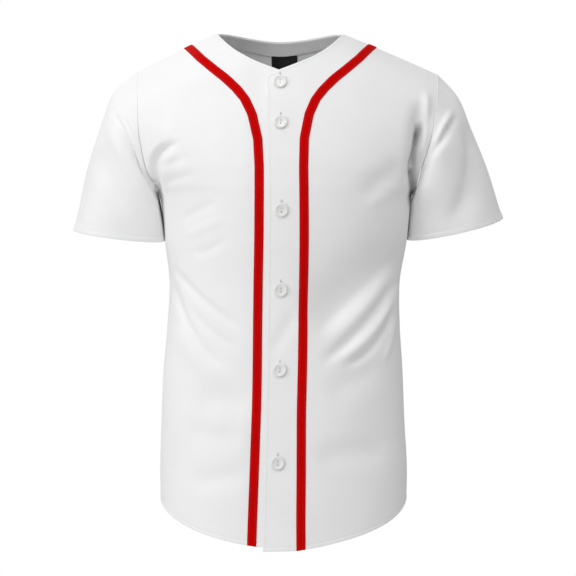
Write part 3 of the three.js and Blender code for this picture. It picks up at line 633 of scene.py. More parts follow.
@dataclass
class Panels:
    """Lays the panels' grids on the body's form."""

    body: BodyForm = field(default_factory=BodyForm)
    braid_width: float = 13.0
    braid_steps: int = 900
    hems: dict[Side, float] = field(default_factory=lambda: {Side.LEFT: -738.0, Side.RIGHT: -732.5})

    def braid_edges(self, side: Side) -> tuple[Curve, Curve]:
        """The inner and the outer edge of a front's braid, its width measured square to its line.

        Args:
            side: the front that it lies on.

        Returns:
            For each edge, a function that takes rows and gives angles.
        """
        rows = np.linspace(-0.2, RIDGE_ROW + 0.2, self.braid_steps)

        def point(angle: Array, row: Array) -> Array:
            return self.body.point(side.value * angle, row)

        def middle(row: Array) -> Array:
            def rising(angle: Array) -> Array:
                at = point(angle, row)
                out = np.abs(at[..., 0] - self.body.column("centre", row))
                return out - np.interp(at[..., 2], BRAID_LINE["z"], BRAID_LINE["out"])

            return solve(rising, np.zeros_like(row), 60)

        def edge(angles: Array) -> Curve:
            return lambda row: np.interp(row, rows, angles)

        angle, step, turn = middle(rows), 0.15, 0.5
        path = point(middle(rows + step), rows + step) - point(middle(rows - step), rows - step)
        turned = point(angle + turn, rows) - point(angle - turn, rows)
        square = np.linalg.norm(np.cross(turned, path), axis=-1) / np.linalg.norm(path, axis=-1)
        half = self.braid_width / 2 / square
        return edge(side.value * (angle - half)), edge(side.value * (angle + half))

    def places(
        self,
        low: Curve,
        high: Curve,
        shares: Array,
        hem: float,
        top: Array | float = RIDGE_ROW,
        rise: Array = ROWS_BESIDE_ARM,
    ) -> tuple[Array, Array]:
        """Places in columns between two lines, from the hem to the underarm and on to a top.

        Args:
            low: the first line's angle at a row.
            high: the second line's.
            shares: where the columns lie between them, from 0 to 1.
            hem: the hem's height at the button line.
            top: the row where each column ends.
            rise: shares of the way from the underarm to the top.

        Returns:
            Angles and rows, a column first.
        """
        top = np.broadcast_to(top, shares.shape)

        def at(row: Array) -> Array:
            return lerp(low(row), high(row), shares)

        foot = self.body.hem_row(at(self.body.hem_row(at(np.zeros_like(shares)), hem)), hem)
        below = lerp(foot[:, None], UNDERARM_ROW, ROWS_BELOW_ARM[None, :-1])
        beside = lerp(UNDERARM_ROW, top[:, None], rise[None, :])
        rows = np.concatenate([below, beside], axis=1)
        return lerp(low(rows), high(rows), shares[:, None]), rows

    def free_edge(self, side: Side, hem: float) -> tuple[Array, Array]:
        """The free edge of a front: up beside the buttons to the neck corner, then along the neckline."""
        body = self.body

        def edge(row: Array) -> Array:
            return body.angle_of_x(body.column("centre", row) - side.value * OVERLAP_HALF_WIDTH, row)

        def corner_of(angle_at: Curve, start: Array) -> Array:
            def rising(row: Array) -> Array:
                return body.past_front_neckline(body.point(angle_at(row), row), side)

            return solve(rising, start, RIDGE_ROW)

        corner = float(corner_of(edge, np.array(UNDERARM_ROW + 2.0)))
        angles, rows = self.places(edge, edge, np.zeros(1), hem, corner)
        below = len(ROWS_BELOW_ARM) - 1
        share = ROWS_BESIDE_ARM / NECK_CORNER_SHARE
        up_rows = lerp(UNDERARM_ROW, corner, share[share <= 1])
        turn = (share[share > 1] - 1) * NECK_CORNER_SHARE / (1 - NECK_CORNER_SHARE)
        x = side.value * lerp(-OVERLAP_HALF_WIDTH, NECK_HALF_WIDTH, np.sin(turn * math.pi / 2))
        neck_rows = corner_of(lambda row: body.angle_of_x(x, row), np.full_like(x, UNDERARM_ROW + 2))
        neck_rows[-1] = RIDGE_ROW
        all_rows = np.concatenate([rows[0, :below], up_rows, neck_rows])
        neck_angles = body.angle_of_x(x, neck_rows)
        return np.concatenate([angles[0, :below], edge(up_rows), neck_angles]), all_rows

    def front(self, side: Side) -> tuple[Surface, int]:
        """A front's outer face, from its free edge past the braid to the side seam and armhole.

        Args:
            side: the wearer's side.

        Returns:
            The surface, its columns in order of rising angle, and how many columns it has before the
            braid's inner edge, counted from the free edge.
        """
        hem = self.hems[side]
        inner, outer = self.braid_edges(side)
        braid = self.places(inner, inner, np.zeros(1), hem)
        edge = self.free_edge(side, hem)
        near = [lerp(e[None], b, COLUMNS_BY_PLACKET) for e, b in zip(edge, braid)]
        under = self.places(inner, outer, np.linspace(0, 1, BRAID_COLUMNS + 1)[:-1], hem)
        far = self.places(outer, lambda row: side.value * self.body.armhole(row), COLUMNS_BY_SEAM, hem)
        angles, rows = (np.concatenate(parts) for parts in zip(near, under, far))
        surface = self.body.cloth(angles, rows)
        if side is Side.RIGHT:
            out = surface.points[..., 0] - self.body.column("centre", rows)
            tuck = (WALL + OVERLAP_GAP) * smooth_step(TUCK_STARTS, TUCK_ENDS, OVERLAP_HALF_WIDTH - out)
            surface = surface.raised(-tuck).backwards(0)
        return surface, len(COLUMNS_BY_PLACKET)

    def back_line(self, x: float) -> Curve:
        """A line up the back that passes x at the ridge."""
        share = float(self.body.angle_of_x(np.array(x), RIDGE_ROW) / self.body.armhole(RIDGE_ROW))
        return lambda row: 180 - share * self.body.armhole(row)

    def back(self, low: float, high: float, shares: Array, rise: Array = ROWS_BESIDE_ARM) -> Surface:
        """The back's outer face between two of its lines, each named by its x at the ridge.

        Args:
            low: the x of the first line.
            high: the x of the second line.
            shares: where the columns lie between them.
            rise: shares of the way from the underarm to the top.

        Returns:
            The surface, from its hem up.
        """
        first, last = self.back_line(low), self.back_line(high)

        def at(row: Array) -> Array:
            return lerp(first(row), last(row), shares)

        def rising(row: Array) -> Array:
            return self.body.past_back_neckline(self.body.point(at(row), row))

        top = solve(rising, np.full_like(shares, UNDERARM_ROW + 2), RIDGE_ROW)
        ridge_x = self.body.point(at(np.full_like(shares, RIDGE_ROW)), RIDGE_ROW)[..., 0]
        top = np.where(np.abs(ridge_x) >= NECK_HALF_WIDTH - 0.01, RIDGE_ROW, top)
        return self.body.cloth(*self.places(first, last, shares, HEM_BACK, top, rise))

    def armhole_loop(self, side: Side) -> Surface:
        """Round the armhole from the underarm, up the front, over the ridge and down the back."""
        up = np.concatenate([ROWS_BESIDE_ARM, ROWS_BESIDE_ARM[-2:0:-1]])
        row = lerp(UNDERARM_ROW, RIDGE_ROW, up)
        angle = self.body.armhole(row)
        angle[len(ROWS_BESIDE_ARM) :] = 180 - angle[len(ROWS_BESIDE_ARM) :]
        return self.body.cloth(side.value * angle, row)


@dataclass
class SleeveForm:
    """A sleeve: oval sections drawn to the armhole at their upper end, with their folds."""

    side: Side
    panels: Panels
    steps: Array = field(default_factory=lambda: 1 - spread(CUFF_DISTANCES, 150, 48, SEAM_DISTANCES)[::-1])

    def oval(self, turn: Array, along: Array) -> Array:
        """Points of the ovals: turn 0 at the underarm and 0.5 at the top, front first.

        x and z go between the oval's ends by (1 - cos(turn)) / 2, and y goes to and fro by
        |sin(turn)| ^ square, which falls to SLEEVE_CORNER at the front of the underarm.
        """
        sections = SLEEVES[self.side]
        at = {name: spline(column, along * (len(column) - 1)) for name, column in sections.items()}
        lift, depth = -np.cos(turn * 2 * math.pi), np.sin(turn * 2 * math.pi)
        x = lerp(at["inner_x"], at["outer_x"], (1 + lift) / 2)
        z = lerp(at["inner_z"], at["outer_z"], (1 + lift) / 2)
        square = np.where(depth > 0, lerp(SLEEVE_CORNER[self.side], 1, (1 + lift) / 2), 1)
        bulge = np.sign(depth) * np.abs(depth) ** square
        y = at["middle_y"] - bulge * np.where(depth > 0, at["front"], at["back"])
        return np.stack([x, y, z - at["dip"] * depth], -1)

    def surface(self) -> Surface:
        """The sleeve's outer face: round it by columns, and along it from armhole to cuff by rows."""
        side = self.side
        loop = self.panels.armhole_loop(side)
        heights = loop.points[:, 2]
        half = len(ROWS_BESIDE_ARM)
        share = (heights - heights[0]) / (heights[half - 1] - heights[0])
        turn = np.arccos(1 - 2 * np.clip(share, 0, 1)) / (2 * math.pi)
        turn[half:] = 1 - turn[half:]
        seam = loop.raised(SEAM_STEP).points
        miss = seam - self.oval(turn, np.zeros_like(turn))
        along = self.steps[None, :]
        reach = lerp(UNDERARM_FADE, ARMHOLE_FADE, smooth_step(0, 0.2, turn))[:, None]
        fade = smooth_step(reach, 0, along)[..., None]
        points = self.oval(turn[:, None], np.broadcast_to(along, (len(turn), along.size)))
        points = points + miss[:, None] * fade
        round_ = np.roll(points, -1, axis=0) - np.roll(points, 1, axis=0)
        normals = unit(np.cross(np.gradient(points, axis=1), round_) * side.value)
        x, z = points[..., 0], points[..., 2]
        front = smooth_step(0.1, 0.6, np.sin(turn * 2 * math.pi))[:, None]
        folds = front * Folds(SLEEVE_FOLDS[side]).height(x, z)
        swell = 0.35 * (np.sin(z / 17 + turn[:, None] * 14) + np.sin(z / 29 - turn[:, None] * 9))
        return Surface(points, normals, ring=True).raised(smooth_step(0, 0.2, along) * (folds + swell))


class Mesher:
    """Makes meshes from whole arrays."""

    @staticmethod
    def make(name: str, points: Array, faces: list, uv: Array | None = None) -> bpy.types.Object:
        """Makes an object from points and faces.

        Args:
            name: the piece's name.
            points: millimetres, one row a point.
            faces: each face's corner numbers.
            uv: metres along the cloth at each corner of each face, if it has a pattern.

        Returns:
            The object, at the origin.
        """
        mesh = bpy.data.meshes.new(name)
        mesh.from_pydata((points * MM).tolist(), [], faces)
        mesh.polygons.foreach_set("use_smooth", np.ones(len(faces), bool))
        if uv is not None:
            layer = mesh.uv_layers.new(name="cloth")
            layer.data.foreach_set("uv", uv.reshape(-1).astype(np.float32))
        mesh.update()
        return put(name, mesh)

    @classmethod
    def wall(cls, name: str, outer: Surface, inner: Array, flip: bool = False) -> bpy.types.Object:
        """A closed wall between a surface and an inner face of the same grid.

        Args:
            name: the piece's name.
            outer: the outer face, its columns and rows turning anticlockwise as seen from outside.
            inner: the inner face's points.
            flip: whether the grid turns clockwise instead.

        Returns:
            The object, with metres across and up its cloth as its UV map.
        """
        columns, rows = outer.points.shape[:2]
        across, up = np.arange(columns if outer.ring else columns - 1), np.arange(rows - 1)
        c, r = (v.ravel() for v in np.meshgrid(across, up, indexing="ij"))
        quads = [(c, r), (c + 1, r), (c + 1, r + 1), (c, r + 1)]
        sides = [[(0, *q) for q in quads], [(1, *q) for q in reversed(quads)]]
        turn, back = (1, 1, 0, 0), (0, 0, 1, 1)
        for row, order in ((0, turn), (rows - 1, back)):
            sides.append([(f, across + step, row) for f, step in zip(order, (0, 1, 1, 0))])
        for column, order in () if outer.ring else ((0, back), (columns - 1, turn)):
            sides.append([(f, column, up + step) for f, step in zip(order, (0, 1, 1, 0))])
        corners = np.concatenate([np.stack([cls._corner(*q) for q in side], 1) for side in sides])
        if flip:
            corners = corners[:, ::-1]
        face, column, row = np.moveaxis(corners, -1, 0)
        faces = face * columns * rows + (column % columns) * rows + row
        runs = [outer.closed().lengths(axis)[column, row] for axis in (0, 1)]
        points = np.concatenate([outer.points.reshape(-1, 3), inner.reshape(-1, 3)])
        return cls.make(name, points, faces.tolist(), np.stack(runs, -1) * MM)

    @staticmethod
    def _corner(face: int, column: Array | int, row: Array | int) -> Array:
        """Corners as rows of face, column and row."""
        return np.stack(np.broadcast_arrays(face, column, row), -1)

    @classmethod
    def tubes(
        cls, name: str, paths: Array, normals: Array, radius: Array, sides: int = 6
    ) -> bpy.types.Object:
        """Closed round threads, each along its own path.

        A ring of points stands round each point of a path, in the plane of the normal and of the cross
        product of the path's way and the normal, and a point closes each end.

        Args:
            name: the piece's name.
            paths: one path a row, each of as many points.
            normals: the way out at each of those points.
            radius: the thread's radius at each point of a path, the same on all.
            sides: corners of a ring.

        Returns:
            The object.
        """
        count, stations = paths.shape[:2]
        way = unit(np.gradient(paths, axis=1))
        sideways = unit(np.cross(way, normals))
        out = np.cross(sideways, way)
        turn = np.arange(sides) * 2 * math.pi / sides
        size = np.broadcast_to(radius, (stations,))[None, :, None, None]
        ring = np.cos(turn)[:, None] * sideways[:, :, None] + np.sin(turn)[:, None] * out[:, :, None]
        rings = paths[:, :, None] + size * ring
        tips = np.stack([paths[:, 0], paths[:, -1]], 1)
        each = stations * sides + 2
        points = np.concatenate([rings.reshape(count, -1, 3), tips], 1).reshape(-1, 3)
        k, s = np.meshgrid(np.arange(stations - 1), np.arange(sides), indexing="ij")
        k, s, after = k.ravel(), s.ravel(), (s.ravel() + 1) % sides
        quads = np.stack([k * sides + s, k * sides + after, (k + 1) * sides + after, (k + 1) * sides + s], 1)
        s, after, last = np.arange(sides), (np.arange(sides) + 1) % sides, (stations - 1) * sides
        first_tip, last_tip = stations * sides + 0 * s, stations * sides + 1 + 0 * s
        foot, head = [after, s, first_tip], [last + s, last + after, last_tip]
        caps = np.concatenate([np.stack(foot, 1), np.stack(head, 1)])
        shift = (np.arange(count) * each)[:, None, None]
        faces = [(f[None] + shift).reshape(-1, f.shape[1]).tolist() for f in (quads, caps)]
        return cls.make(name, points, faces[0] + faces[1])


@dataclass(frozen=True)
class StitchRun:
    """A row of machine stitches along a line on a cloth."""

    pitch: float = 3.0
    share: float = 0.74
    radius: float = 0.26
    sink: float = 0.22
    margin: float = 1.5
    rise: float = 1.6
    thin_end: float = 0.55
    stations: int = 5

    def build(self, name: str, line: Line) -> bpy.types.Object:
        """Each stitch rises from the cloth and dives back: its height is rise * radius * cos, less the sink.

        Args:
            name: the piece's name.
            line: the line that it follows.

        Returns:
            The stitches as one object.
        """
        length = line.length() - 2 * self.margin
        count = max(int(length / self.pitch), 1)
        starts = self.margin + (np.arange(count) + 0.5) * length / count
        stations = np.linspace(-0.5, 0.5, self.stations)
        at = line.resampled(starts[:, None] + stations * self.pitch * self.share)
        lift = self.radius * self.rise * np.cos(stations * math.pi) - self.sink
        radius = self.radius * lerp(self.thin_end, 1, np.cos(stations * math.pi))
        paths = at.points + lift[None, :, None] * at.normals
        return Mesher.tubes(name, paths, at.normals, radius, sides=5)


class Graph:
    """A node tree with short ways to add nodes and join them."""

    def __init__(self, tree: bpy.types.NodeTree) -> None:
        """Takes the tree to build in."""
        self.tree = tree

    def add(self, kind: str, inputs: dict | None = None, **settings: object) -> bpy.types.Node:
        """Adds a node.

        Args:
            kind: the node's type.
            inputs: a value or another node's socket for each of its sockets, by name or number.
            settings: the node's own settings.

        Returns:
            The node.
        """
        node = self.tree.nodes.new(kind)
        for name, value in settings.items():
            setattr(node, name, value)
        for name, value in (inputs or {}).items():
            if isinstance(value, bpy.types.NodeSocket):
                self.tree.links.new(value, node.inputs[name])
            else:
                node.inputs[name].default_value = value
        return node

    def math(self, operation: str, *values: object) -> bpy.types.NodeSocket:
        """Adds a Math node and returns its value."""
        node = self.add("ShaderNodeMath", dict(enumerate(values)), operation=operation)
        return node.outputs[0]


class Groups:
    """Shader node groups that several finishes share, each built once."""

    @staticmethod
    def _new(name: str, sizes: str, result: str) -> tuple[Graph, object, bpy.types.NodeSocket]:
        """Starts a group that takes a vector and some numbers and gives one number.

        Args:
            name: the group's name.
            sizes: the numbers' names, with spaces between.
            result: the name of what it gives.

        Returns:
            The graph, the sockets of what it takes, and the socket for its result.
        """
        tree = bpy.data.node_groups.new(name, "ShaderNodeTree")
        tree.interface.new_socket("Vector", in_out="INPUT", socket_type="NodeSocketVector")
        for size in sizes.split():
            tree.interface.new_socket(size, in_out="INPUT", socket_type="NodeSocketFloat")
        tree.interface.new_socket(result, in_out="OUTPUT", socket_type="NodeSocketFloat")
        graph = Graph(tree)
        return graph, graph.add("NodeGroupInput").outputs, graph.add("NodeGroupOutput").inputs[0]

    @classmethod
    def knit(cls) -> bpy.types.NodeTree:
        """Knitted loops: each wale is a rounded rib crossed by slanting loops that meet in a V."""
        if "knit_loops" in bpy.data.node_groups:
            return bpy.data.node_groups["knit_loops"]
        graph, given, result = cls._new("knit_loops", "Wale Course", "Height")
        place = graph.add("ShaderNodeSeparateXYZ", {0: given["Vector"]})
        across = graph.math("DIVIDE", place.outputs["X"], given["Wale"])
        up = graph.math("DIVIDE", place.outputs["Y"], given["Course"])
        slant = graph.math("PINGPONG", across, 0.5)
        rib = graph.math("SINE", graph.math("MULTIPLY", slant, 2 * math.pi))
        loop = graph.math("SINE", graph.math("MULTIPLY", graph.math("ADD", up, slant), 2 * math.pi))
        shape = graph.math("MULTIPLY_ADD", loop, 0.3, 0.7)
        graph.tree.links.new(graph.math("MULTIPLY", rib, shape), result)
        return graph.tree

    @classmethod
    def mottle(cls) -> bpy.types.NodeTree:
        """A soft unevenness of tone between two values, from noise."""
        if "soft_mottle" in bpy.data.node_groups:
            return bpy.data.node_groups["soft_mottle"]
        graph, given, result = cls._new("soft_mottle", "Scale Low High", "Value")
        inputs = {"Vector": given["Vector"], "Scale": given["Scale"], "Detail": 3.0}
        noise = graph.add("ShaderNodeTexNoise", inputs)
        inputs = {"Value": noise.outputs[0], "From Min": 0.3, "From Max": 0.7}
        inputs |= {"To Min": given["Low"], "To Max": given["High"]}
        graph.tree.links.new(graph.add("ShaderNodeMapRange", inputs).outputs[0], result)
        return graph.tree


@dataclass(frozen=True)
class Finish:
    """What a piece is made of. The kinds below add its pattern."""

    name: str
    colour: tuple[float, float, float]
    roughness: float = 0.8
    sheen: float = 0.0
    coat: float = 0.0
    specular: float = 0.5

    def material(self) -> bpy.types.Material:
        """The finish's material, made at its first use."""
        if self.name in bpy.data.materials:
            return bpy.data.materials[self.name]
        material = bpy.data.materials.new(self.name)
        material.use_nodes = True
        shader = material.node_tree.nodes["Principled BSDF"]
        values = {
            "Base Color": (*self.colour, 1),
            "Roughness": self.roughness,
            "Sheen Weight": self.sheen,
            "Coat Weight": self.coat,
            "Specular IOR Level": self.specular,
        }
        for socket, value in values.items():
            shader.inputs[socket].default_value = value
        self.pattern(Graph(material.node_tree), shader)
        return material

    def pattern(self, graph: Graph, shader: bpy.types.Node) -> None:
        """Adds the tone and the relief: here a soft mottle alone."""
        place = graph.add("ShaderNodeTexCoord").outputs["Object"]
        self.tone(graph, shader, place, 60.0, 0.93)

    def tone(self, graph: Graph, shader: bpy.types.Node, place: object, scale: float, low: float) -> None:
        """Mottles the base colour between a share of it and the whole.

        Args:
            graph: the material's nodes.
            shader: its Principled BSDF.
            place: the coordinates.
            scale: the noise's scale.
            low: the share of the colour at its darkest.
        """
        inputs = {"Vector": place, "Scale": scale, "Low": low, "High": 1.0}
        mottle = graph.add("ShaderNodeGroup", inputs, node_tree=Groups.mottle())
        inputs = {0: 1.0, 6: (*self.colour, 1), 7: mottle.outputs[0]}
        mix = graph.add("ShaderNodeMix", inputs, data_type="RGBA", blend_type="MULTIPLY")
        graph.tree.links.new(mix.outputs[2], shader.inputs["Base Color"])


@dataclass(frozen=True)
class KnitFinish(Finish):
    """Knitted or woven cloth: loops on the piece's own UV map, in metres."""

    wale: float = 0.0013
    course: float = 0.0011
    depth: float = 0.00012
    strength: float = 0.5
    mottle_scale: float = 16.0
    mottle_low: float = 0.975

    def pattern(self, graph: Graph, shader: bpy.types.Node) -> None:
        """Adds the mottle, and a bump from the loops and from fine fuzz."""
        place = graph.add("ShaderNodeTexCoord")
        self.tone(graph, shader, place.outputs["Object"], self.mottle_scale, self.mottle_low)
        inputs = {"Vector": place.outputs["UV"], "Wale": self.wale, "Course": self.course}
        loops = graph.add("ShaderNodeGroup", inputs, node_tree=Groups.knit())
        fuzz = graph.add("ShaderNodeTexNoise", {"Vector": place.outputs["UV"], "Scale": 900.0, "Detail": 2.0})
        height = graph.math("MULTIPLY_ADD", fuzz.outputs[0], 0.5, loops.outputs[0])
        inputs = {"Strength": self.strength, "Distance": self.depth, "Height": height}
        bump = graph.add("ShaderNodeBump", inputs)
        graph.tree.links.new(bump.outputs[0], shader.inputs["Normal"])


@dataclass(frozen=True)
class PlasticFinish(Finish):
    """Cast polyester: a faint pearly swirl and a polished coat."""

    def pattern(self, graph: Graph, shader: bpy.types.Node) -> None:
        """Adds the swirl to the colour, and slight polishing marks to the roughness."""
        place = graph.add("ShaderNodeTexCoord").outputs["Object"]
        self.tone(graph, shader, place, 240.0, 0.94)
        noise = graph.add("ShaderNodeTexNoise", {"Vector": place, "Scale": 900.0, "Detail": 3.0})
        low, high = self.roughness - 0.06, self.roughness + 0.08
        rough = graph.add("ShaderNodeMapRange", {"Value": noise.outputs[0], "To Min": low, "To Max": high})
        graph.tree.links.new(rough.outputs[0], shader.inputs["Roughness"])


WHITE_KNIT = KnitFinish("white_knit_cloth", (0.93, 0.93, 0.935), 0.85, sheen=0.12, specular=0.25)
RED_BRAID = KnitFinish(
    "red_braid_cloth", (0.62, 0.001, 0.001), 0.85, specular=0.03, wale=0.0022, course=0.0009, depth=0.00025,
    mottle_scale=90.0, mottle_low=0.9,
)  # fmt: skip
LABEL_CLOTH = KnitFinish(
    "black_label_cloth", (0.012, 0.012, 0.014), 0.6, specular=0.4, wale=0.0007, course=0.0005, depth=0.0001,
    mottle_scale=120.0, mottle_low=0.8,
)  # fmt: skip
BUTTON_PLASTIC = PlasticFinish("white_button_plastic", (0.86, 0.86, 0.85), 0.3, coat=0.4)


def thread_finish(thread: Thread) -> Finish:
    """The finish of a thread."""
    return Finish(f"{thread.name.lower()}_thread", thread.value, 0.6, sheen=0.2)


def settle(obj: bpy.types.Object, finish: Finish, slot: str, *nodes: str) -> bpy.types.Object:
    """Gives a piece its finish and the body it rides on, and logs it.

    Args:
        obj: the finished piece.
        finish: its finish.
        slot: not used.
        nodes: the frame's nodes that it stands for.

    Returns:
        The piece.
    """
    obj.data.materials.append(finish.material())
    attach(obj, "root")
    if nodes:
        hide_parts(*nodes)
    LOG.info("%s: %d faces", obj.name, len(obj.data.polygons))
    return obj


def sew(
    name: str, line: Line, thread: Thread = Thread.WHITE, slot: str = "white_knit", **sizes: float
) -> bpy.types.Object:
    """A settled row of stitches.

    Args:
        name: the piece's name.
        line: the line that it follows.
        thread: its thread.
        slot: the record's material slot.
        sizes: what differs from a plain StitchRun.

    Returns:
        The piece.
    """
    return settle(StitchRun(**sizes).build(name, line), thread_finish(thread), slot)


@dataclass
class Front:
    """One front of the jersey, with its braid and its topstitching."""

    side: Side
    panels: Panels
    braid_thickness: float = 1.0
    braid_fineness: int = 12
    braid_stitches: tuple[tuple[str, float], ...] = (("inner", 0.13), ("outer", 0.87))
    braid_rounding: float = 0.75
    thread_line: float = 0.74
    thread_depth: float = 0.18
    thread_width: float = 0.07
    first_stitched_row: int = 6

    def build(self) -> None:
        """Builds the cloth, the braid and their stitches."""
        plain, near = self.panels.front(self.side)
        left = self.side is Side.LEFT
        first = near if left else len(plain.points) - 1 - near - BRAID_COLUMNS
        run = (plain.lengths(0), plain.to_last(0))
        to_edge, to_seam = run if left else run[::-1]
        up, down = plain.lengths(1), plain.to_last(1)
        rows = np.arange(plain.points.shape[1])
        corner = len(ROWS_BELOW_ARM) - 1 + (ROWS_BESIDE_ARM <= NECK_CORNER_SHARE).sum()
        edge = np.where(rows < corner, PLACKET_EDGE.height(to_edge), NECK_EDGE.height(to_edge))
        height = edge + HEM_EDGE.height(up) + SEAM_EDGE.height(to_seam) + SEAM_EDGE.height(down)
        outer = plain.raised(height)
        name = f"front_{self.side.word}"
        wall = Mesher.wall(f"{name}_cloth", outer, plain.raised(-WALL).points)
        cloth = settle(wall, WHITE_KNIT, "white_knit", name)
        hem = sew(f"{name}_hem_stitches", contour(outer, up, HEM_EDGE.width, 1))
        if left:
            line, start = contour(outer, to_edge, PLACKET_EDGE.width, 0), self.first_stitched_row
        else:
            line, start = contour(outer.backwards(0), to_edge[::-1], NECK_EDGE.width, 0), corner
        edge_stitches = sew(f"{name}_edge_stitches", Line(line.points[start:], line.normals[start:]))
        outer.flat()
        outer.area()
        self.build_braid(plain.cut(slice(first, first + BRAID_COLUMNS + 1)))

    def build_braid(self, strip: Surface) -> None:
        """Builds the braid on its strip of the front, with a row of stitches along each edge.

        Its outer face stands a trim's gap and its thickness above the cloth, and rounds off at both edges.
        """
        name = f"braid_{self.side.word}"
        fine = self.refined(strip, self.braid_fineness)
        across = np.abs(np.linspace(-1, 1, fine.points.shape[0]))[:, None]
        crown = self.braid_thickness * (1 - self.braid_rounding * across**8)
        lines = self.thread_depth * np.exp(-(((across - self.thread_line) / self.thread_width) ** 2))
        outer = fine.raised(TRIM_GAP + crown - lines)
        wall = Mesher.wall(f"{name}_tape", outer, fine.raised(TRIM_GAP * 0.3).points)
        braid = settle(wall, RED_BRAID, "red_braid", name)
        for word, share in self.braid_stitches:
            column = int(round(share * (fine.points.shape[0] - 1)))
            line = Line(outer.points[column, 3:-2], outer.normals[column, 3:-2])
            sew(f"{name}_{word}_stitches", line, Thread.RED, "red_braid", pitch=TRIM_PITCH)
        tape = (self.panels.braid_width * MM, fine.flat()[1])

    @staticmethod
    def refined(strip: Surface, steps: int) -> Surface:
        """A strip read at even steps across it."""
        position = np.linspace(0, len(strip.points) - 1, steps + 1)
        start = np.clip(position.astype(int), 0, len(strip.points) - 2)
        t = (position - start)[:, None, None]
        read = [lerp(v[start], v[start + 1], t) for v in (strip.points, strip.normals)]
        return Surface(read[0], unit(read[1]))


@dataclass
class Back:
    """The back of the jersey, with the facing and the label inside its neck."""

    panels: Panels
    facing_thickness: float = 1.0
    facing_inset: float = 1.3
    facing_stitches: float = 2.6
    label_thickness: float = 0.8
    label_stitches: float = 1.8

    def build(self) -> None:
        """Builds the cloth, the facing, the label and their stitches."""
        ridge = self.panels.body.point(np.array([1.0, -1.0]) * self.panels.body.armhole(RIDGE_ROW), RIDGE_ROW)
        shoulders, neck = COLUMNS_BY_SHOULDER, np.linspace(0, 1, NECK_COLUMNS + 1)
        parts = [
            self.panels.back(ridge[0, 0], NECK_HALF_WIDTH, shoulders[:-1]),
            self.panels.back(NECK_HALF_WIDTH, -NECK_HALF_WIDTH, neck),
            self.panels.back(-NECK_HALF_WIDTH, ridge[1, 0], 1 - shoulders[-2::-1]),
        ]
        plain = Surface(*(np.concatenate(v) for v in zip(*((p.points, p.normals) for p in parts))))
        up, down = plain.lengths(1), plain.to_last(1)
        beside = np.abs(plain.points[:, -1, 0]) > NECK_HALF_WIDTH - 0.5
        top = np.where(beside[:, None], SEAM_EDGE.height(down), NECK_EDGE.height(down))
        seams = SEAM_EDGE.height(plain.lengths(0)) + SEAM_EDGE.height(plain.to_last(0))
        outer = plain.raised(HEM_EDGE.height(up) + top + seams)
        wall = Mesher.wall("back_cloth", outer, plain.raised(-WALL).points)
        cloth = settle(wall, WHITE_KNIT, "white_knit", "back")
        hem = sew("back_hem_stitches", contour(outer, up, HEM_EDGE.width, 1))
        below_neck = outer.cut(slice(len(shoulders) - 1, len(shoulders) + NECK_COLUMNS))
        down_neck = below_neck.to_last(1)[:, ::-1]
        neck_line = contour(below_neck.backwards(1), down_neck, NECK_EDGE.width, 1)
        pieces = [hem, sew("back_neck_stitches", neck_line)]
        outer.flat()
        outer.area()
        self.build_facing()
        self.build_label()

    def patch(self, low: float, high: float, columns: int, foot: float, top: float, rows: int) -> Surface:
        """A patch of the back's inner side, turned to face into the body.

        Args:
            low: x at the ridge of its first side.
            high: x at the ridge of its second side.
            columns: steps across.
            foot: share of the way up at which it starts.
            top: share at which it ends.
            rows: steps up.

        Returns:
            Its surface on the cloth's outer face.
        """
        rise = np.linspace(foot, top, rows + 1)
        whole = self.panels.back(low, high, np.linspace(0, 1, columns + 1), rise)
        return whole.cut(slice(None), slice(len(ROWS_BELOW_ARM) - 1, None))

    def build_facing(self) -> None:
        """Builds the facing inside the back of the neck, with a row of stitches along its foot."""
        half = NECK_HALF_WIDTH - self.facing_inset
        patch = self.patch(half, -half, 60, FACING_FOOT, 0.998, 16)
        up, down = patch.lengths(1), patch.to_last(1)
        rounded = 0.5 * np.exp(-up / 0.8) + 0.3 * np.exp(-down / 0.8)
        groove = 0.25 * np.exp(-(((up - self.facing_stitches) / 0.8) ** 2))
        face = patch.raised(-LINING - self.facing_thickness + rounded + groove)
        facing = Mesher.wall("neck_facing_cloth", face, patch.raised(0.25 - LINING).points, flip=True)
        settle(facing, WHITE_KNIT, "white_knit", "neck_facing")
        line = contour(face.inside_out(), up, self.facing_stitches, 1)
        stitches = [sew("neck_facing_stitches", line, pitch=TRIM_PITCH)]
        face.flat()
        face.area()

    def build_label(self) -> None:
        """Builds the plain label under the facing, with a row of stitches down each side."""
        patch = self.patch(LABEL_LEFT, LABEL_RIGHT, 24, LABEL_FOOT, FACING_FOOT + 0.004, 22)
        up, across = patch.lengths(1), patch.lengths(0)
        edges = np.minimum(across, patch.to_last(0))
        rounded = 0.35 * np.exp(-edges / 0.5) + 0.35 * np.exp(-up / 0.5)
        curl = np.abs(0.5 * np.exp(-up / 6) * np.sin(across / 13))
        face = patch.raised(-LINING - self.label_thickness + rounded - curl)
        label = Mesher.wall("neck_label_cloth", face, patch.raised(0.1 - LINING - curl).points, flip=True)
        settle(label, LABEL_CLOTH, "label_cloth", "neck_label")
        inward = face.inside_out()
        for word, run in (("left", inward), ("right", inward.backwards(0))):
            line = contour(run, run.lengths(0), self.label_stitches, 0)
            name = f"neck_label_{word}_stitches"
            sew(name, line, Thread.BLACK, "label_cloth", pitch=2.4, radius=0.2)
        face.flat()
        face.area()


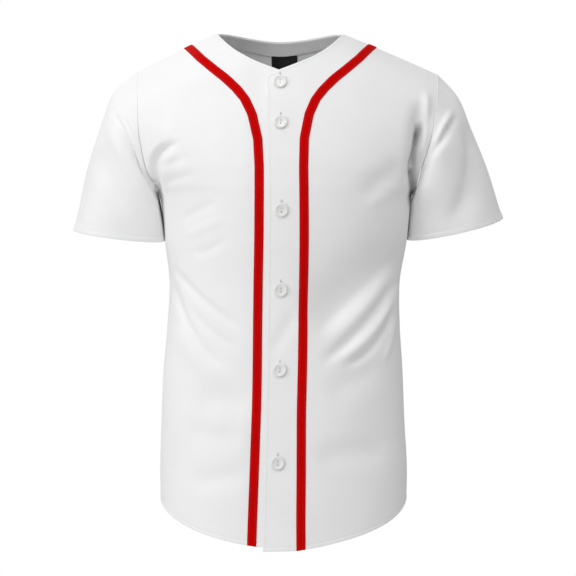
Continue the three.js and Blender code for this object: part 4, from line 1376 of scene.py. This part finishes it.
@dataclass
class Sleeve:
    """A short set-in sleeve with its turned cuff."""

    side: Side
    panels: Panels

    def build(self) -> None:
        """Builds the cloth and the cuff's stitches."""
        plain = SleeveForm(self.side, self.panels).surface()
        to_cuff, from_seam = plain.to_last(1), plain.lengths(1)
        outer = plain.raised(CUFF_EDGE.height(to_cuff) + SLEEVE_SEAM_SHARE * SEAM_EDGE.height(from_seam))
        name, left = f"sleeve_{self.side.word}", self.side is Side.LEFT
        cloth = Mesher.wall(f"{name}_cloth", outer, plain.raised(-WALL).points, flip=left)
        settle(cloth, WHITE_KNIT, "white_knit", name)
        run = plain.closed().to_last(1)[:, ::-1]
        line = contour(outer.closed().backwards(1), run, CUFF_EDGE.width, 1)
        stitches = [sew(f"{name}_cuff_stitches", line)]
        outer.flat()
        outer.area()


@dataclass
class ButtonRow:
    """The six buttons, with the threads that hold them and their buttonholes."""

    body: BodyForm
    radius: float = 9.5
    thickness: float = 2.6
    rim: float = 2.4
    dish: float = 0.7
    hole_radius: float = 1.0
    hole_spread: float = 2.4
    standoff: float = 0.6
    segments: int = 64
    rim_roundness: float = 0.9
    rim_drop: float = 0.3
    slope_length: float = 2.6
    foot_rounding: float = 0.15
    sharp_angle: float = 42.0
    strand_offsets: tuple[float, ...] = (-0.45, -0.15, 0.15, 0.45)
    strand_radius: float = 0.2
    strand_rise: float = 0.35
    strand_dive: float = 2.2
    shank_offsets: tuple[float, ...] = (-0.3, 0.3)
    shank_radius: float = 0.28
    shank_ends: tuple[float, float] = (-1.2, 2.0)
    stitch_pitch: float = 0.62
    hole_foot: float = -8.0
    hole_head: float = 13.5
    hole_half_width: float = 1.3

    def profile(self) -> Array:
        """The button's half section as radius and height: a flat foot, rounded rim and dished middle."""
        r, t, rim, bend = self.radius, self.thickness, self.rim, self.rim_roundness
        turn = np.linspace(-math.pi / 2, math.pi / 2, 9)
        half = t / 2 - self.foot_rounding
        side = np.stack([r - bend + bend * np.cos(turn), half + half * np.sin(turn)], -1)
        down = np.linspace(0, 1, 8)[1:]
        top = t - self.rim_drop
        slope = top + self.rim_drop * (1 - down) - self.dish * down
        inward = np.stack([r - rim + bend - self.slope_length * down, slope], -1)
        middle = [[0.0, top - self.dish]]
        return np.concatenate([[[0.0, 0.0]], side, [[r - rim + 0.6, t]], inward, middle])

    def mesh_points(self) -> tuple[Array, list]:
        """The button on its own axis: a turned disc with its two holes bored through.

        Returns:
            Points with the axis along the third number, and faces.
        """
        profile = self.profile()
        turn = np.arange(self.segments) * 2 * math.pi / self.segments
        radius, height = profile[1:-1, 0, None], profile[1:-1, 1, None]
        ring = np.stack(np.broadcast_arrays(radius * np.cos(turn), radius * np.sin(turn), height), -1)
        points = np.concatenate([ring.reshape(-1, 3), [[0, 0, profile[0, 1]], [0, 0, profile[-1, 1]]]])
        rows, n = len(profile) - 2, self.segments
        k, s = (v.ravel() for v in np.meshgrid(np.arange(rows - 1), np.arange(n), indexing="ij"))
        after = (s + 1) % n
        quads = np.stack([k * n + s, k * n + after, (k + 1) * n + after, (k + 1) * n + s], 1)
        s, after = np.arange(n), (np.arange(n) + 1) % n
        foot = np.stack([after, s, np.full(n, rows * n)], 1)
        head = np.stack([(rows - 1) * n + s, (rows - 1) * n + after, np.full(n, rows * n + 1)], 1)
        mesh = bpy.data.meshes.new("button_blank")
        mesh.from_pydata(points.tolist(), [], quads.tolist() + foot.tolist() + head.tolist())
        blank = put("button_blank", mesh)
        drills = []
        for way in (-1, 1):
            bpy.ops.mesh.primitive_cylinder_add(
                vertices=20, radius=self.hole_radius, depth=12, location=(0, way * self.hole_spread, 0)
            )
            drills.append(bpy.context.object)
            cut = blank.modifiers.new("hole", "BOOLEAN")
            cut.object, cut.operation, cut.solver = drills[-1], "DIFFERENCE", "EXACT"
        graph = bpy.context.evaluated_depsgraph_get()
        bored = bpy.data.meshes.new_from_object(blank.evaluated_get(graph))
        made = np.zeros(len(bored.vertices) * 3)
        bored.vertices.foreach_get("co", made)
        faces = [list(p.vertices) for p in bored.polygons]
        for obj in (blank, *drills):
            bpy.data.objects.remove(obj)
        return made.reshape(-1, 3), faces

    def build(self) -> None:
        """Builds each button, its thread and its buttonhole."""
        points, faces = self.mesh_points()
        middle = np.array(0.0)
        for number, z in enumerate(BUTTON_HEIGHTS, start=1):
            row = solve(lambda r, z=z: self.body.point(middle, r)[..., 2] - z, middle, RIDGE_ROW)
            seat = self.body.cloth(middle, row)
            normal = seat.normals
            side = unit(np.cross(np.array([0.0, 0.0, 1.0]), normal))
            axes = np.stack([side, np.cross(normal, side), normal])
            base = seat.points + self.standoff * normal
            name = f"button_{number}"
            disc = Mesher.make(f"{name}_disc", base + points @ axes, faces)
            disc.data.set_sharp_from_angle(angle=math.radians(self.sharp_angle))
            settle(disc, BUTTON_PLASTIC, "button_plastic", name)
            self.build_thread(name, base, axes)
            self.build_buttonhole(name, seat)

    def build_thread(self, name: str, base: Array, axes: Array) -> None:
        """Builds the strands that pass between the two holes, in an arc over the bridge."""
        t = np.linspace(-1, 1, 15)
        offsets = np.array(self.strand_offsets)[:, None]
        top = self.thickness - self.rim_drop - self.dish
        height = top + self.strand_rise - self.strand_dive * np.abs(t) ** 9
        arc = self.hole_spread * np.sin(t * math.pi / 2)
        self.add_thread(f"{name}_thread", base, axes, (offsets, arc, height), 2, self.strand_radius)
        legs = np.array([[x, way * self.hole_spread] for way in (-1, 1) for x in self.shank_offsets])
        depth = lerp(*self.shank_ends, np.linspace(0, 1, 4))
        self.add_thread(f"{name}_shank", base, axes, (*legs.T[..., None], depth), 0, self.shank_radius)

    @staticmethod
    def add_thread(name: str, base: Array, axes: Array, path: tuple, aim: int, radius: float) -> None:
        """Adds strands of thread along paths given on the button's own axes.

        Args:
            name: the piece's name.
            base: where the button stands.
            axes: its three axes.
            path: the strands' three coordinates.
            aim: which of the axes is a strand's normal.
            radius: a strand's radius.
        """
        local = np.stack(np.broadcast_arrays(*path), -1)
        normals = np.broadcast_to(axes[aim], local.shape)
        strands = Mesher.tubes(name, base + local @ axes, normals, np.full(local.shape[1], radius))
        settle(strands, thread_finish(Thread.WHITE), "white_knit")

    def build_buttonhole(self, name: str, seat: Surface) -> None:
        """Builds the upright buttonhole: a close row of cross stitches down each side and at both ends."""
        z = np.arange(self.hole_foot, self.hole_head, self.stitch_pitch)
        t = np.linspace(0, 1, 4)
        bars = []
        for way in (-1, 1):
            x = way * lerp(0.1, self.hole_half_width, t)
            bars.append(np.stack(np.broadcast_arrays(x, z[:, None]), -1))
        for end in (self.hole_foot, self.hole_head):
            row = end + np.sign(end) * np.array([0.3, 0.8])
            x = lerp(-self.hole_half_width, self.hole_half_width, t)
            bars.append(np.stack(np.broadcast_arrays(x, row[:, None]), -1))
        flat = np.concatenate(bars)
        cloth = self.body.at_front(seat.points[0] + flat[..., 0], seat.points[2] + flat[..., 1])
        lift = 0.22 * np.sin(t * math.pi) + 0.05
        paths = cloth.points + lift[None, :, None] * cloth.normals
        radii = np.array([0.26, 0.32, 0.32, 0.26])
        stitches = Mesher.tubes(f"{name}_buttonhole", paths, cloth.normals, radii, 5)
        settle(stitches, thread_finish(Thread.WHITE), "white_knit")


@dataclass
class Studio:
    """The camera at the photograph's angle, the soft lights and the pale floor."""

    eye: tuple[float, float, float] = (0.0116, -3.0, -0.3685)
    half_width: float = 0.4186
    lamps: tuple[tuple[str, tuple[float, float, float], float], ...] = (
        ("key_light", (-2.85, -2.05, 0.63), 41.5),
        ("front_light", (0.0, -2.36, 2.46), 40.0),
        ("top_light", (0.0, -0.55, 3.27), 14.0),
        ("rear_light", (-1.4, 2.9, 1.7), 26.0),
    )
    lamp_size: float = 1.8
    lamp_aim: tuple[float, float, float] = (0.0, -0.05, -0.3)
    sky: float = 0.41
    floor_height: float = -1.45
    floor_radius: float = 3.9
    floor_segments: int = 96

    def build(self) -> None:
        """Builds all of it."""
        scene = bpy.context.scene
        scene.view_settings.view_transform = "Standard"
        self.camera(scene)
        self.world(scene)
        for name, place, power in self.lamps:
            self.lamp(name, place, power)
        self.floor()

    def camera(self, scene: bpy.types.Scene) -> None:
        """A level camera whose frame spans twice the half width at the origin's depth."""
        data = bpy.data.cameras.new("photo_camera")
        data.sensor_width = 36.0
        data.lens = data.sensor_width / 2 / (self.half_width / -self.eye[1])
        data.clip_end = 100.0
        camera = put("photo_camera", data)
        camera.location = self.eye
        camera.rotation_euler = (math.radians(90), 0, 0)
        scene.camera = camera

    def world(self, scene: bpy.types.Scene) -> None:
        """A plain white backdrop that lights the jersey less brightly than it shows."""
        world = bpy.data.worlds.new("studio_white")
        world.use_nodes = True
        graph = Graph(world.node_tree)
        world.node_tree.nodes.clear()
        shown = graph.add("ShaderNodeBackground", {"Color": (1, 1, 1, 1), "Strength": 1.0})
        light = graph.add("ShaderNodeBackground", {"Color": (1, 1, 1, 1), "Strength": self.sky})
        path = graph.add("ShaderNodeLightPath")
        inputs = {0: path.outputs["Is Camera Ray"], 1: light.outputs[0], 2: shown.outputs[0]}
        mix = graph.add("ShaderNodeMixShader", inputs)
        graph.add("ShaderNodeOutputWorld", {"Surface": mix.outputs[0]})
        scene.world = world

    def lamp(self, name: str, place: tuple[float, float, float], power: float) -> None:
        """A square soft light aimed at the chest."""
        data = bpy.data.lights.new(name, "AREA")
        data.size, data.energy = self.lamp_size, power
        lamp = put(name, data)
        lamp.location = place
        aim = Vector(self.lamp_aim) - Vector(place)
        lamp.rotation_euler = aim.to_track_quat("-Z", "Y").to_euler()

    def floor(self) -> None:
        """A round pale floor well below the jersey."""
        count, radius = self.floor_segments, self.floor_radius / MM
        turn = np.arange(count) * 2 * math.pi / count
        height = np.full(count, self.floor_height / MM)
        rim = np.stack([radius * np.cos(turn), radius * np.sin(turn), height], -1)
        floor = Mesher.make("studio_floor", rim, [list(range(count))])
        floor.data.materials.append(Finish("pale_floor", (0.86, 0.86, 0.86), 0.7).material())


def main() -> None:
    """Builds the studio and the jersey in order."""
    logging.basicConfig(level=logging.INFO, format="%(message)s")
    Studio().build()
    panels = Panels()
    for side in Side:
        Front(side, panels).build()
    Back(panels).build()
    for side in Side:
        Sleeve(side, panels).build()
    ButtonRow(panels.body).build()


if __name__ == "__main__":
    main()
